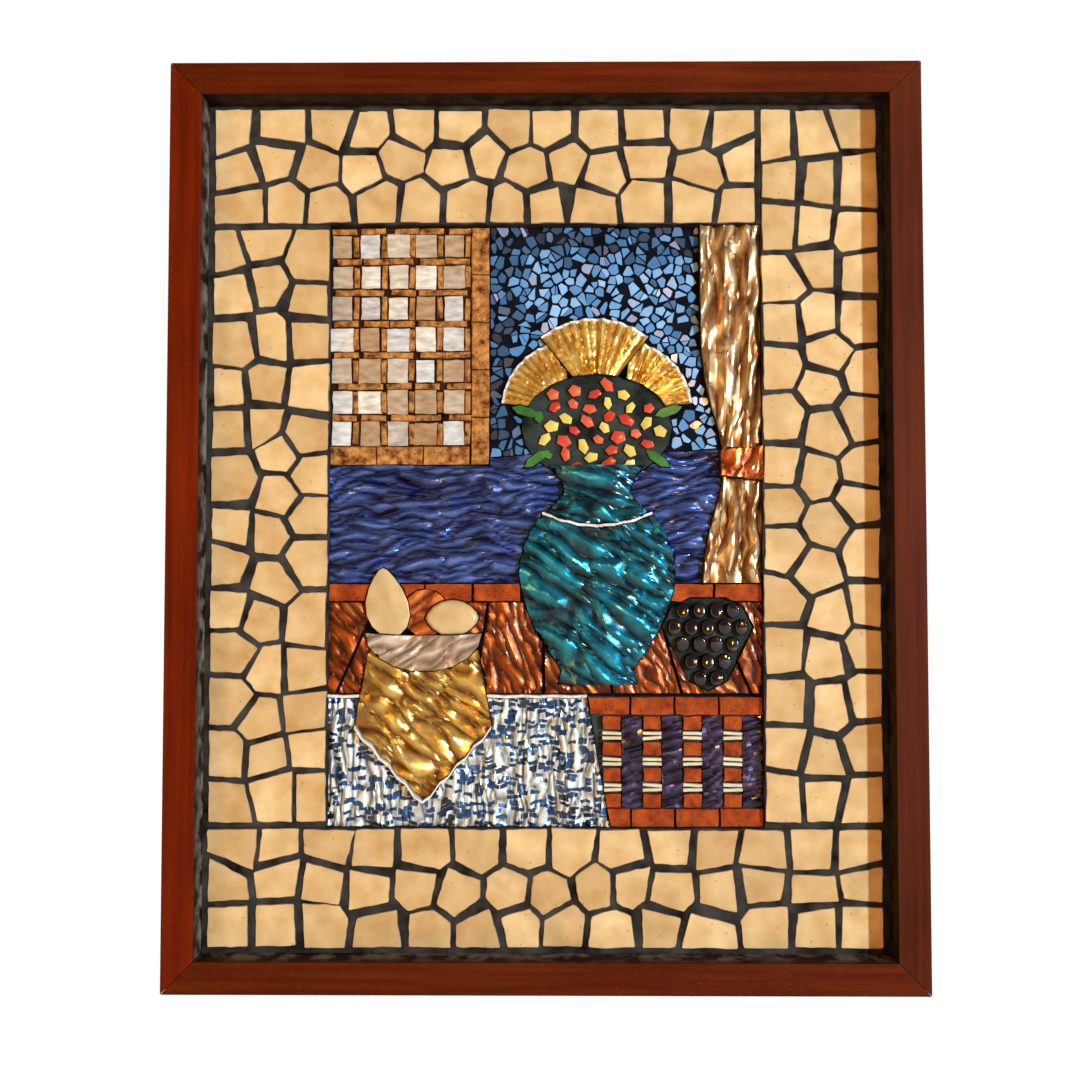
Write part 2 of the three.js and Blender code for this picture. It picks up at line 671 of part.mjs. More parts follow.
// A palm of pleated foil that opens out of the bouquet, with its foot hidden behind it
function layPalm(name, [cx, cz], radius, lean) {
  const points = 2 * PALM_PLEATS + 1;
  const arc = (share) =>
    Array.from({ length: points }, (_, i) => {
      const a = Math.PI / 2 - lean + PALM_SPREAD * (i / (points - 1) - 0.5);
      return [cx + radius * share * Math.cos(a), cz + radius * share * Math.sin(a)];
    });
  const rings = [
    [PALM_EYE, () => ON_BED],
    [PALM_EYE, () => PALM_RISE],
    [1, (i) => PALM_RISE - PALM_EDGE_DROP - (i % 2) * PALM_PLEAT],
    [1, () => ON_BED],
  ];
  const position = rings.flatMap(([share, riseOf]) =>
    arc(share).flatMap(([x, z], i) => [x, -(BOARD_THICKNESS + riseOf(i)), z]),
  );
  const index = [];
  for (let r = 0; r < rings.length; r++) {
    const [here, next] = [r * points, ((r + 1) % rings.length) * points];
    for (let i = 0; i < points - 1; i++) {
      index.push(here + i, next + i + 1, here + i + 1, here + i, next + i, next + i + 1);
    }
  }
  const [first, last] = [0, points - 1].map((i) => rings.map((_, r) => r * points + i));
  index.push(first[0], first[2], first[1], first[0], first[3], first[2]);
  index.push(last[0], last[1], last[2], last[0], last[2], last[3]);
  const fan = new THREE.BufferGeometry();
  fan.setAttribute("position", new THREE.BufferAttribute(new Float32Array(position), 3));
  fan.setIndex(index);
  lay(name, "gold_foil", solidFrom(fan), [[cx, cz], ...arc(1)]);
}

// Drops and leaves set in a dark mound over the mouth of the vase
function layBouquet() {
  const random = randomFrom(7);
  const [cx, cz] = place(BOUQUET_PLACE);
  const [rx, rz] = [BOUQUET_WIDTH / 2, BOUQUET_HEIGHT / 2];
  const inside = 1 - PETAL_LENGTH / BOUQUET_WIDTH - PETAL_LENGTH / BOUQUET_HEIGHT / 2;
  const goldenAngle = Math.PI * (3 - Math.sqrt(5));
  const mound = ellipse([cx, cz], rx, rz, MOUND_SIDES);
  const parts = [slab(mound, ON_BED, BOUQUET_RISE)];
  for (let i = 0; i < PETAL_COUNT; i++) {
    const out = Math.sqrt((i + 0.5) / PETAL_COUNT) * inside;
    const [x, z] = [Math.cos(i * goldenAngle) * rx * out, Math.sin(i * goldenAngle) * rz * out];
    const size = 1 + PETAL_UNEVEN * (2 * random() - 1);
    const half = [(size * PETAL_LENGTH) / 2, (size * PETAL_WIDTH) / 2];
    const drop = ellipse([cx + x, cz + z], ...half, PETAL_SIDES, 2 * Math.PI * random());
    parts.push(slab(drop, BOUQUET_RISE - JOINT, PETAL_RISE));
  }
  const leaves = Array.from({ length: LEAF_COUNT }, (_, i) => {
    const a = Math.PI * (1.5 + LEAF_SWEEP * (i / (LEAF_COUNT - 1) - 0.5));
    const middle = [cx + rx * Math.cos(a), cz + rz * Math.sin(a)];
    return ellipse(middle, LEAF_LENGTH / 2, LEAF_WIDTH / 2, LEAF_SIDES, a);
  });
  leaves.forEach((leaf) => parts.push(slab(leaf, ON_BED, PETAL_RISE)));
  lay("bouquet", "flower_glass", wasm.Manifold.union(parts), mound, ...leaves);
}

function curtainWidth(z) {
  const away = (z - up(TIE_PLACE)) / (2 * TIE_HEIGHT);
  return CURTAIN_WIDTH - (CURTAIN_WIDTH - CURTAIN_WAIST) * Math.exp(-away * away);
}

function layCurtain() {
  const tieZ = up(TIE_PLACE);
  const half = TIE_HEIGHT / 2;
  const free = RIGHT - CURTAIN_WAIST - TIE_OVERLAP;
  const tie = [
    [free, tieZ - TIE_TAPER * half],
    [RIGHT, tieZ - half],
    [RIGHT, tieZ + half],
    [free, tieZ + TIE_TAPER * half],
  ];
  const tieRise = (x, z) => TIE_RISE + TIE_CREASE * crease(x, z, CREASE_STEEP, CREASE_WIDTH);
  lay("curtain_tie", "orange_foil", relief(tie, tieRise, CREASE_PITCH, CREASE_PITCH), tie);
  const hemZ = up(SILL_TOP) + JOINT;
  const steps = 14;
  const edge = Array.from({ length: steps + 1 }, (_, i) => {
    const z = TOP - ((TOP - hemZ) * i) / steps;
    return [RIGHT - curtainWidth(z), z];
  });
  const outline = [[RIGHT, hemZ], [RIGHT, TOP], ...edge];
  const riseAt = (x, z) => {
    const share = (RIGHT - x) / curtainWidth(z);
    const sway = CURTAIN_SWAY * zigzag(z / (2 * TIE_HEIGHT));
    return CURTAIN_RISE + CURTAIN_FOLD * zigzag(share * CURTAIN_FOLDS + sway);
  };
  const pitch = CURTAIN_WIDTH / (3 * CURTAIN_FOLDS);
  const foil = relief(outline, riseAt, pitch, 4 * pitch);
  lay(["curtain_top", "curtain_skirt"], "champagne_foil", foil, outline);
}

function layTablecloth() {
  const hemZ = up(TABLE_EDGE);
  const right = LEFT + CLOTH_WIDTH;
  const foldWidth = CLOTH_WIDTH / CLOTH_FOLDS;
  const riseAt = (x) => CLOTH_RISE + CLOTH_FOLD * zigzag((x - LEFT) / foldWidth);
  const bends = 16;
  const path = Array.from({ length: bends + 1 }, (_, i) => [
    LEFT + (CLOTH_WIDTH * i) / bends,
    hemZ - (i % 2) * PIPING_WAVE,
  ]);
  layPiping("tablecloth_piping", path, () => CLOTH_RISE + CLOTH_FOLD, CLOTH_WIDTH);
  const outline = [
    [LEFT, BOTTOM],
    [right + CLOTH_FLARE, BOTTOM],
    [right, hemZ - PIPING_WIDTH],
    [LEFT, hemZ - PIPING_WIDTH],
  ];
  lay("tablecloth", "patterned_foil", relief(outline, riseAt, foldWidth / 2, 4 * foldWidth), outline);
}

// A row of bricks from one x to another, as outlines
function brickRow(x0, x1, bottomZ, length) {
  const count = Math.max(1, Math.round((x1 - x0 + JOINT) / (length + JOINT)));
  const step = (x1 - x0 + JOINT) / count;
  return Array.from({ length: count }, (_, i) =>
    rectangle(x0 + i * step, bottomZ, x0 + (i + 1) * step - JOINT, bottomZ + BRICK_WIDTH),
  );
}

// Brick columns with dark strips between them, between two brick rails. The cream slivers that lie in pairs
// between the bricks of a column are too thin for this model.
function layLowerWall() {
  const topZ = up(TABLE_EDGE) - JOINT;
  const x0 = LEFT + CLOTH_WIDTH;
  const parts = [slab(rectangle(x0, BOTTOM, RIGHT, topZ), ON_BED, ON_BED + JOINT)];
  const block = (points, rise) => parts.push(slab(points, ON_BED, rise));
  for (const bottomZ of [BOTTOM, topZ - BRICK_WIDTH]) {
    brickRow(x0, RIGHT, bottomZ, BRICK_LENGTH).forEach((brick) => block(brick, BRICK_RISE));
  }
  const low = BOTTOM + BRICK_WIDTH + JOINT;
  const high = topZ - BRICK_WIDTH - JOINT;
  const pair = 2 * SLIVER + 3 * SLIVER_GAP;
  const bricks = Math.round((high - low + pair) / (COLUMN_BRICK + pair));
  const step = (high - low + pair) / bricks;
  const count = Math.floor((RIGHT - x0) / COLUMN_PITCH);
  for (let i = 0; i < count; i++) {
    const right = RIGHT - i * COLUMN_PITCH - (COLUMN_PITCH - COLUMN_WIDTH);
    block(rectangle(right + JOINT, low, right + COLUMN_PITCH - COLUMN_WIDTH, high), COLUMN_STRIP_RISE);
    const left = right - COLUMN_WIDTH + JOINT;
    for (let k = 0; k < bricks; k++) {
      block(rectangle(left, low + k * step, right, low + (k + 1) * step - pair), BRICK_RISE);
    }
  }
  lay("lower_wall", "brick_tile", wasm.Manifold.union(parts));
}

function laySill() {
  const bottomZ = up(SILL_TOP) - BRICK_WIDTH;
  brickRow(LEFT, RIGHT, bottomZ, BRICK_LENGTH).forEach((brick, i) =>
    lay(`sill_brick_${i + 1}`, "brick_tile", slab(brick, ON_BED, BRICK_RISE)),
  );
}

// Table planks that draw together towards a point above the sill, as seen from the front
function layPlanks() {
  const nearZ = up(TABLE_EDGE) + PIPING_WIDTH;
  const farZ = up(SILL_TOP) - BRICK_WIDTH - JOINT;
  const [vanishX, vanishZ] = [across(0.5), up(1)];
  const draw = (vanishZ - farZ) / (vanishZ - nearZ);
  const count = Math.round(DRAWN_WIDTH / PLANK_WIDTH) + 2;
  const inside = slab(rectangle(LEFT, nearZ, RIGHT, farZ), 0, RAIL_DEPTH);
  for (let i = 0; i < count; i++) {
    const x0 = vanishX + (i - count / 2) * PLANK_WIDTH;
    const x1 = x0 + PLANK_WIDTH - PLANK_GAP;
    const outline = [
      [x0, nearZ],
      [x1, nearZ],
      [vanishX + (x1 - vanishX) * draw, farZ],
      [vanishX + (x0 - vanishX) * draw, farZ],
    ];
    const riseAt = (x, z) => PLANK_RISE + PLANK_CREASE * crease(x, z, -CREASE_STEEP, CREASE_WIDTH);
    const plank = relief(outline, riseAt, 2 * CREASE_PITCH, 2 * CREASE_PITCH).intersect(inside);
    lay(`table_plank_${i + 1}`, "plank_foil", plank);
  }
}

function waveAt(x) {
  const [wave, swell] = [WAVE_LENGTH, WAVE_SWELL].map((length) => (2 * Math.PI * x) / length);
  return up(HORIZON) + WAVE_HEIGHT * Math.sin(wave) * Math.cos(swell);
}

function laySeaAndSky() {
  const shutterRight = LEFT + SHUTTER_WIDTH;
  const lowZ = up(SILL_TOP) + JOINT;
  const middle = across(VASE_PLACE[0]);
  const steps = 8;
  const crest = (x0, x1, lift) =>
    Array.from({ length: steps + 1 }, (_, i) => {
      const x = x0 + ((x1 - x0) * i) / steps;
      return [x, waveAt(x) + lift];
    });
  const riseAt = (x, z) => SEA_RISE + SEA_WRINKLE * crease(x, z, CREASE_LEVEL, CREASE_WIDTH);
  const shores = { left: [LEFT, middle - JOINT / 2], right: [middle + JOINT / 2, RIGHT] };
  for (const [name, [x0, x1]] of Object.entries(shores)) {
    const outline = [[x0, lowZ], [x1, lowZ], ...crest(x0, x1, 0).reverse()];
    const foil = relief(outline, riseAt, 3 * CREASE_PITCH, CREASE_PITCH);
    lay(`sea_${name}`, "blue_foil", foil);
  }
  const sky = [...crest(shutterRight + JOINT, RIGHT, JOINT), [RIGHT, TOP], [shutterRight + JOINT, TOP]];
  lay("sky_glass", "blue_glass", slab(sky, ON_BED, SKY_RISE));
}

// Shell panes in a thin bed, with marbled bars along the shutter's free side and foot
function layShutter() {
  const random = randomFrom(3);
  const right = LEFT + SHUTTER_WIDTH;
  const bottom = TOP - SHUTTER_HEIGHT;
  const parts = [slab(rectangle(LEFT, bottom, right, TOP), ON_BED, PANE_BED_RISE)];
  const bar = (points) => parts.push(slab(points, ON_BED, SHUTTER_BAR_RISE));
  const paneRight = right - SHUTTER_BAR_WIDTH - JOINT;
  const paneBottom = bottom + SHUTTER_BAR_WIDTH + JOINT;
  const uprights = Math.round(SHUTTER_HEIGHT / SHUTTER_BAR_LENGTH);
  const tall = (TOP - bottom) / uprights;
  for (let i = 0; i < uprights; i++) {
    bar(rectangle(paneRight + JOINT, bottom + i * tall, right, bottom + (i + 1) * tall - JOINT));
  }
  const levels = Math.round((paneRight - LEFT) / SHUTTER_BAR_LENGTH);
  const wide = (paneRight - LEFT) / levels;
  for (let i = 0; i < levels; i++) {
    bar(rectangle(LEFT + i * wide, bottom, LEFT + (i + 1) * wide - JOINT, paneBottom - JOINT));
  }
  const columns = Math.round((paneRight - LEFT) / PANE_PITCH_X);
  const rows = Math.round((TOP - paneBottom) / PANE_PITCH_Z);
  const [stepX, stepZ] = [(paneRight - LEFT) / columns, (TOP - paneBottom) / rows];
  for (let r = 0; r < rows; r++) {
    for (let c = 0; c < columns; c++) {
      const x = LEFT + c * stepX + JOINT + random();
      const z = paneBottom + r * stepZ + JOINT + random();
      const pane = rectangle(x, z, x + stepX - PANE_JOINT_X, z + stepZ - PANE_JOINT_Z);
      parts.push(slab(pane, ON_BED, PANE_RISE - PANE_UNEVEN * random()));
    }
  }
  lay("shell_shutter", "shell", wasm.Manifold.union(parts), rectangle(LEFT, bottom, right, TOP));
}

addFrame();
addBoard();
addBorder();
addPictureBed();
layGrapes();
layBowl();
layFruit();
layNapkin();
layVase();
layBouquet();
layPalm("middle_palm", place(MIDDLE_PALM_PLACE), MIDDLE_PALM_RADIUS, 0);
layPalm("left_palm", place(LEFT_PALM_PLACE), SIDE_PALM_RADIUS, -SIDE_PALM_LEAN);
layPalm("right_palm", place(RIGHT_PALM_PLACE), SIDE_PALM_RADIUS, SIDE_PALM_LEAN);
layCurtain();
layTablecloth();
layLowerWall();
laySill();
layPlanks();
layShutter();
laySeaAndSky();

panel.position.z = -(OPENING_HEIGHT + RAIL_FACE) / 2;

export default panel;
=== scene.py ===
import math
import random

import bmesh
import bpy
from mathutils import Matrix, Vector, noise
from mathutils.bvhtree import BVHTree


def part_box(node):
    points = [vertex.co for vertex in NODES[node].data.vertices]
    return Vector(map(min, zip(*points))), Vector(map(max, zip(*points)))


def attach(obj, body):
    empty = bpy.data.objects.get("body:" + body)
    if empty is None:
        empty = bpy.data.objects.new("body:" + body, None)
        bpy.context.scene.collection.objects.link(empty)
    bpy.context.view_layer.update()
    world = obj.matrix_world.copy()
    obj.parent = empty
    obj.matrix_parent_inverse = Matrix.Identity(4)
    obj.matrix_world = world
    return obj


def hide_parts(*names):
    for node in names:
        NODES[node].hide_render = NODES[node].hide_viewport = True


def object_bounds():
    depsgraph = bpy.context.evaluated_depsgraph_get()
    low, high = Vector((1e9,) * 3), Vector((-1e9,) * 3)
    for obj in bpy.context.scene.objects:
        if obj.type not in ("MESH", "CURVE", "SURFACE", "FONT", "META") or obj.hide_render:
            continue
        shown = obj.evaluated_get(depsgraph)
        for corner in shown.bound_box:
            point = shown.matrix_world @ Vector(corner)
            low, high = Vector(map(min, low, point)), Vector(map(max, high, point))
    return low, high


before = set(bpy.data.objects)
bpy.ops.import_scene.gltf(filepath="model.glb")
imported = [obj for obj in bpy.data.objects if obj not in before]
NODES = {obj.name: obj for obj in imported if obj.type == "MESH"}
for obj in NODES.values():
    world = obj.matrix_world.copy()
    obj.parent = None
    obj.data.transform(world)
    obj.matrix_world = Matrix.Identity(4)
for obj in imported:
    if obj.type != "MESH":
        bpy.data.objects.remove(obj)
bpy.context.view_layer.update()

# A framed mosaic panel. Lengths are in metres, the front looks along -Y, and a rise is counted from the
# backing board's face towards the viewer.
MM = 0.001
BOARD_FACE = -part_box("backing_board")[0].y
BED_TOP = -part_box("picture_bed")[0].y - BOARD_FACE
PANEL_LOW, PANEL_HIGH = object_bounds()
PANEL_MIDDLE = (PANEL_LOW + PANEL_HIGH) / 2
PICTURE_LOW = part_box("picture_bed")[0]

# A shard's drift and nip are shares of its pitch, and a cant or slant is in radians.
RAIL_ARRIS = 0.45 * MM
GROUT_RISE = 12.5 * MM
TILE_CORNER = 0.9 * MM
TILE_ARRIS = 0.5 * MM
TILE_STRETCH = (0.965, 1.035)
TILE_TURN = math.radians(1.8)
TILE_TILT = math.radians(0.5)
SHARD_PITCH = 9.2 * MM
SHARD_DRIFT = 0.45
SHARD_RISE = 2.2 * MM
SHARD_JOINT = 0.85 * MM
SHARD_CANT = 0.22
SHARD_NIP = (0.3, 0.55)
SHARD_SNAPPED = 0.12
SHARD_MISSING = 0.04
SMALLEST_SHARD = 10 * MM * MM
SHELL_ROW = 9 * MM
STRIP_RISE = 5.4 * MM
STRIP_SLANT = 0.05
LARGEST_PETAL = 110 * MM * MM
SLIVER_WIDTH = 2.8 * MM
SLIVER_PLACES = (0.31, 0.69)
WIDEST_SQUARE = 18 * MM
WALL_HEIGHT = 105 * MM
BRICK_ARRIS = 0.9 * MM
FOIL_RISE = 4 * MM
FOIL_LEVEL = 0.45
FOLD_ANGLE = math.radians(25)
PALM_EDGE = 2.3 * MM
PLEAT_DEPTH = 2.6 * MM
PLEATS_PER_RADIAN = 8.5
# Each palm's foot, across and up from the panel's middle, and the seed of its creases.
PALMS = {
    "left_palm": (23.4 * MM, 103 * MM, 3),
    "middle_palm": (44.85 * MM, 108.4 * MM, 4),
    "right_palm": (70.2 * MM, 103 * MM, 6),
}
# The rises between which the fronts of each kind of piece lie in the solids.
TILE_FRONTS = (GROUT_RISE + 0.3 * MM, 20 * MM)
PANE_FRONTS = (4.1 * MM, 4.8 * MM)
BAR_FRONTS = (5.5 * MM, 7 * MM)
STRIP_FRONTS = (5 * MM, 6 * MM)
BRICK_FRONTS = (7.5 * MM, 8.5 * MM)
PETAL_FRONTS = (7.5 * MM, 8.5 * MM)
GRAPE_FRONTS = (8.5 * MM, 9.5 * MM)
FRUIT_FRONTS = (9.5 * MM, 10.5 * MM)
SEEDS = {"border": 30, "shards": 4, "shutter": 8, "bricks": 5, "bouquet": 11, "grapes": 12}


# Making the pieces

def in_scene(name, data):
    """A new object of the scene with the given mesh, camera or lamp."""
    made = bpy.data.objects.new(name, data)
    bpy.context.scene.collection.objects.link(made)
    return made


def mesh_of(bm, name, materials):
    """Turns a bmesh, which is used up, into a mesh with its materials."""
    mesh = bpy.data.meshes.new(name)
    bm.to_mesh(mesh)
    bm.free()
    for material in materials:
        mesh.materials.append(material)
    return mesh


def finished(bm, name, nodes, materials, smooth=False):
    """Turns a bmesh into a piece of the panel that stands for some of the frame's nodes."""
    mesh = mesh_of(bm, name, materials)
    for polygon in mesh.polygons:
        polygon.use_smooth = smooth
    piece = in_scene(name, mesh)
    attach(piece, "root")
    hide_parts(*nodes)
    return piece


def copied(*names):
    """The named nodes as one mesh with shared corners and whole flat faces."""
    bm = bmesh.new()
    for name in names:
        bm.from_mesh(NODES[name].data)
    bmesh.ops.remove_doubles(bm, verts=bm.verts, dist=0.01 * MM)
    bmesh.ops.dissolve_limit(bm, angle_limit=math.radians(0.4), verts=bm.verts, edges=bm.edges)
    return bm


def keep_faces(bm, wanted):
    """Leaves the wanted faces alone, each with corners of its own."""
    bm.normal_update()
    bmesh.ops.delete(bm, geom=[f for f in bm.faces if not wanted(f)], context="FACES")
    bmesh.ops.split_edges(bm, edges=bm.edges)


def front_outlines(names, rises):
    """The nodes' flat faces that look straight out of the front at a rise between two limits."""
    def is_front(face):
        rise = -face.calc_center_median().y - BOARD_FACE
        return face.normal.y < -0.99 and rises[0] < rise < rises[1]

    bm = copied(*names)
    keep_faces(bm, is_front)
    return bm


def face_box(face):
    """The left, lower, right and upper limits of a face."""
    xs = [v.co.x for v in face.verts]
    zs = [v.co.z for v in face.verts]
    return min(xs), min(zs), max(xs), max(zs)


def resized(bm, face, across, up, turn=0.0):
    """Scales a loose face about its own middle, along axes turned by an angle."""
    own = Matrix.Rotation(turn, 4, "Y") @ Matrix.Translation(-face.calc_center_median())
    bmesh.ops.scale(bm, vec=(across, 1, up), space=own, verts=face.verts)


def broken(bm, rough, cuts, seed, often=130):
    """Gives every outline the uneven edge of a snapped tile."""
    longest = [e for e in bm.edges if e.calc_length() > 5 * MM]
    bmesh.ops.bisect_edges(bm, edges=longest, cuts=cuts)
    for vert in bm.verts:
        spot = vert.co * often + Vector((seed, 0, 0))
        vert.co.x += rough * noise.noise(spot)
        vert.co.z += rough * noise.noise(spot + Vector((9, 9, 9)))


def tilted(bm, rng, most):
    """Sets each loose face a little out of level."""
    for face in bm.faces:
        turn = Matrix.Rotation(rng.uniform(-most, most), 3, "X")
        turn @= Matrix.Rotation(rng.uniform(-most, most), 3, "Z")
        middle = face.calc_center_median()
        bmesh.ops.rotate(bm, cent=middle, matrix=turn, verts=face.verts)


def bevelled(bm, geom, offset, segments, affect="EDGES"):
    """Takes off edges, or with affect VERTICES the corners of loose faces."""
    bmesh.ops.bevel(
        bm, geom=list(geom), offset=offset, offset_type="OFFSET", segments=segments, profile=0.5,
        affect=affect, material=-1, clamp_overlap=True,
    )


def thickened(bm, depth, arris, segments=1):
    """Extrudes loose front faces back to a thickness and takes their front arrises off."""
    backs = list(bm.faces)
    made = bmesh.ops.extrude_face_region(bm, geom=backs, use_keep_orig=True)
    tops = [f for f in made["geom"] if isinstance(f, bmesh.types.BMFace)]
    bmesh.ops.translate(bm, vec=(0, depth, 0), verts=[v for f in backs for v in f.verts])
    bmesh.ops.reverse_faces(bm, faces=backs)
    if arris:
        bevelled(bm, {e for f in tops for e in f.edges}, arris, segments)
    bmesh.ops.recalc_face_normals(bm, faces=bm.faces)


def toned(bm, rng):
    """Gives each loose face three tones of its own, from 0 to 1, kept at its corners."""
    tone = bm.loops.layers.float_color.new("tone")
    for face in bm.faces:
        value = (rng.random(), rng.random(), rng.random())
        for loop in face.loops:
            loop[tone] = (*value, 1)


def front_of(name):
    """The front surface of a node, as a function of x and z that gives the rise."""
    bm = bmesh.new()
    bm.from_mesh(NODES[name].data)
    tree = BVHTree.FromBMesh(bm)
    bm.free()
    steps = [(0, 0), (1, 0), (-1, 0), (0, 1), (0, -1), (1, 1), (-1, -1), (1, -1), (-1, 1)]

    def rise(x, z, reach=0.25 * MM):
        for dx, dz in steps:
            hit = tree.ray_cast(Vector((x + dx * reach, -0.1, z + dz * reach)), Vector((0, 1, 0)))[0]
            if hit is not None and -hit.y - BOARD_FACE > BED_TOP:
                return -hit.y - BOARD_FACE
        return None

    return rise


def silhouette(name):
    """The flat back of a node, which is its outline, turned to look out of the front."""
    bm = copied(name)
    keep_faces(bm, lambda face: face.normal.y > 0.99)
    bmesh.ops.reverse_faces(bm, faces=bm.faces)
    return bm


def gridded(bm, faces, lean, along, across):
    """Cuts faces into a fine grid whose long side lies at an angle to the level."""
    corners = [v.co.copy() for f in faces for v in f.verts]
    for angle, pitch in ((lean, across), (lean + math.pi / 2, along)):
        normal = Vector((-math.sin(angle), 0, math.cos(angle)))
        spans = [c.dot(normal) for c in corners]
        count = int((max(spans) - min(spans)) / pitch)
        for k in range(1, count + 1):
            geom = list({g for f in faces for g in (f, *f.edges, *f.verts)})
            cut = bmesh.ops.bisect_plane(
                bm, geom=geom, plane_co=normal * (min(spans) + k * pitch), plane_no=normal, dist=0.02 * MM
            )
            faces = [g for g in cut["geom"] if isinstance(g, bmesh.types.BMFace)]
    return faces


def zigzag(t):
    """A wave of straight slopes between 0 and 1."""
    return 1 - abs(2 * (t - math.floor(t)) - 1)


def crumple(x, z, lean, width, seed):
    """The height, from 0 to 1, of long ridges along an angle, in patches with creases between them."""
    u = (x * math.cos(lean) + z * math.sin(lean)) / width
    v = (z * math.cos(lean) - x * math.sin(lean)) / width
    wander = noise.noise(Vector((u / 4.5, v / 3.5, seed)))
    pinch = noise.noise(Vector((u / 2.4 + 5, v / 1.5, seed + 3)))
    near, points = noise.voronoi(Vector((u / 4.2 + 0.3 * pinch, v / 1.9 + 0.3 * wander, seed)))
    patch = noise.noise(points[0] * 3.7)
    ridge = zigzag(0.75 * v + 0.8 * patch * u / 2 + 1.1 * wander + 0.4 * pinch + 2 * patch)
    swell = 0.8 + 0.5 * noise.noise(Vector((u / 3 + 9, v / 2, seed + 7)))
    return min(1, max(0, min(swell * ridge, 0.12 + 2.6 * (near[1] - near[0]))))


def foil(name, slot, node_name, materials, lean, along, across, depth, width, seed=0, fine=None):
    """Crumpled foil over the solid's own front; fine adds a lift of its own, such as pleats."""
    rise = front_of(node_name)
    bm = silhouette(node_name)
    fronts = list(bm.faces)
    made = bmesh.ops.extrude_face_region(bm, geom=fronts, use_keep_orig=True)
    tops = [g for g in made["geom"] if isinstance(g, bmesh.types.BMFace)]
    bmesh.ops.reverse_faces(bm, faces=fronts)
    tops = gridded(bm, tops, lean, along, across)
    tone = bm.verts.layers.float_color.new("tone")
    for vert in {v for f in tops for v in f.verts}:
        x, z = vert.co.x, vert.co.z
        base = rise(x, z) or FOIL_RISE
        height = crumple(x, z, lean, width, seed)
        lift = depth * (height - FOIL_LEVEL)
        if fine:
            lift += fine(x, z)
            height = 0.6 + 0.2 * (height - 0.5) + fine(x, z) / (3 * MM)
        vert.co.y = -BOARD_FACE - max(base + lift, BED_TOP + 1 * MM)
        # The height kept here gives the foil's painted shade in the creases and painted highlights on the
        # crests.
        vert[tone] = (height, height, height, 1)
    bmesh.ops.triangulate(bm, faces=[f for f in tops if len(f.verts) > 3])
    bmesh.ops.recalc_face_normals(bm, faces=bm.faces)
    for edge in bm.edges:
        edge.smooth = edge.calc_face_angle(0) < FOLD_ANGLE
    return finished(bm, name, [node_name], materials, True)


# Materials

def shader_group(name, inputs, outputs):
    """An empty node group with the named inputs, each with a default, and outputs."""
    group = bpy.data.node_groups.new(name, "ShaderNodeTree")
    kinds = {"Vector": "NodeSocketVector", "Normal": "NodeSocketVector", "Colour": "NodeSocketColor"}
    for label, default in inputs.items():
        kind = "NodeSocketColor" if isinstance(default, tuple) else "NodeSocketFloat"
        socket = group.interface.new_socket(label, in_out="INPUT", socket_type=kinds.get(label, kind))
        if default is not None:
            socket.default_value = default
    for label in outputs:
        kind = kinds.get(label, "NodeSocketFloat")
        group.interface.new_socket(label, in_out="OUTPUT", socket_type=kind)
    return group, group.nodes.new("NodeGroupInput"), group.nodes.new("NodeGroupOutput")


def node(tree, kind, **settings):
    """A new node of a tree, with its settings."""
    made = tree.nodes.new(kind)
    for key, value in settings.items():
        setattr(made, key, value)
    return made


def linked(tree, pairs):
    """Joins each pair of sockets."""
    for start, end in pairs:
        tree.links.new(start, end)


def mapped(tree, value, low, high, out_low, out_high):
    """A value spread from one range to another."""
    spread = node(tree, "ShaderNodeMapRange")
    for key, number in (("From Min", low), ("From Max", high), ("To Min", out_low), ("To Max", out_high)):
        spread.inputs[key].default_value = number
    tree.links.new(value, spread.inputs["Value"])
    return spread.outputs["Result"]


def mixed(tree, factor, first, second, blend="MIX"):
    """One colour laid over another; each may be a socket or a plain colour."""
    mix = node(tree, "ShaderNodeMix", data_type="RGBA", blend_type=blend)
    for socket, value in ((mix.inputs[0], factor), (mix.inputs[6], first), (mix.inputs[7], second)):
        if isinstance(value, bpy.types.NodeSocket):
            tree.links.new(value, socket)
        else:
            socket.default_value = (*value, 1) if isinstance(value, tuple) else value
    return mix.outputs[2]


def product(tree, first, second):
    """Two masks multiplied."""
    times = node(tree, "ShaderNodeMath", operation="MULTIPLY")
    linked(tree, [(first, times.inputs[0]), (second, times.inputs[1])])
    return times.outputs[0]


def depth_of(tree, vector):
    """The Y of a vector, which counts from front to back."""
    parts = node(tree, "ShaderNodeSeparateXYZ")
    tree.links.new(vector, parts.inputs[0])
    return parts.outputs["Y"]


def make_clouding():
    """Soft cloudy variation between two colours."""
    inputs = {"Vector": None, "Scale": 30.0, "Detail": 4.0, "Low": (0, 0, 0, 1), "High": (1, 1, 1, 1)}
    group, given, result = shader_group("clouding", inputs, ["Colour", "Mask"])
    cloud = node(group, "ShaderNodeTexNoise")
    linked(group, [
        (given.outputs["Vector"], cloud.inputs["Vector"]),
        (given.outputs["Scale"], cloud.inputs["Scale"]),
        (given.outputs["Detail"], cloud.inputs["Detail"]),
    ])
    mask = mapped(group, cloud.outputs["Fac"], 0.3, 0.7, 0, 1)
    colour = mixed(group, mask, given.outputs["Low"], given.outputs["High"])
    linked(group, [(mask, result.inputs["Mask"]), (colour, result.inputs["Colour"])])
    return group


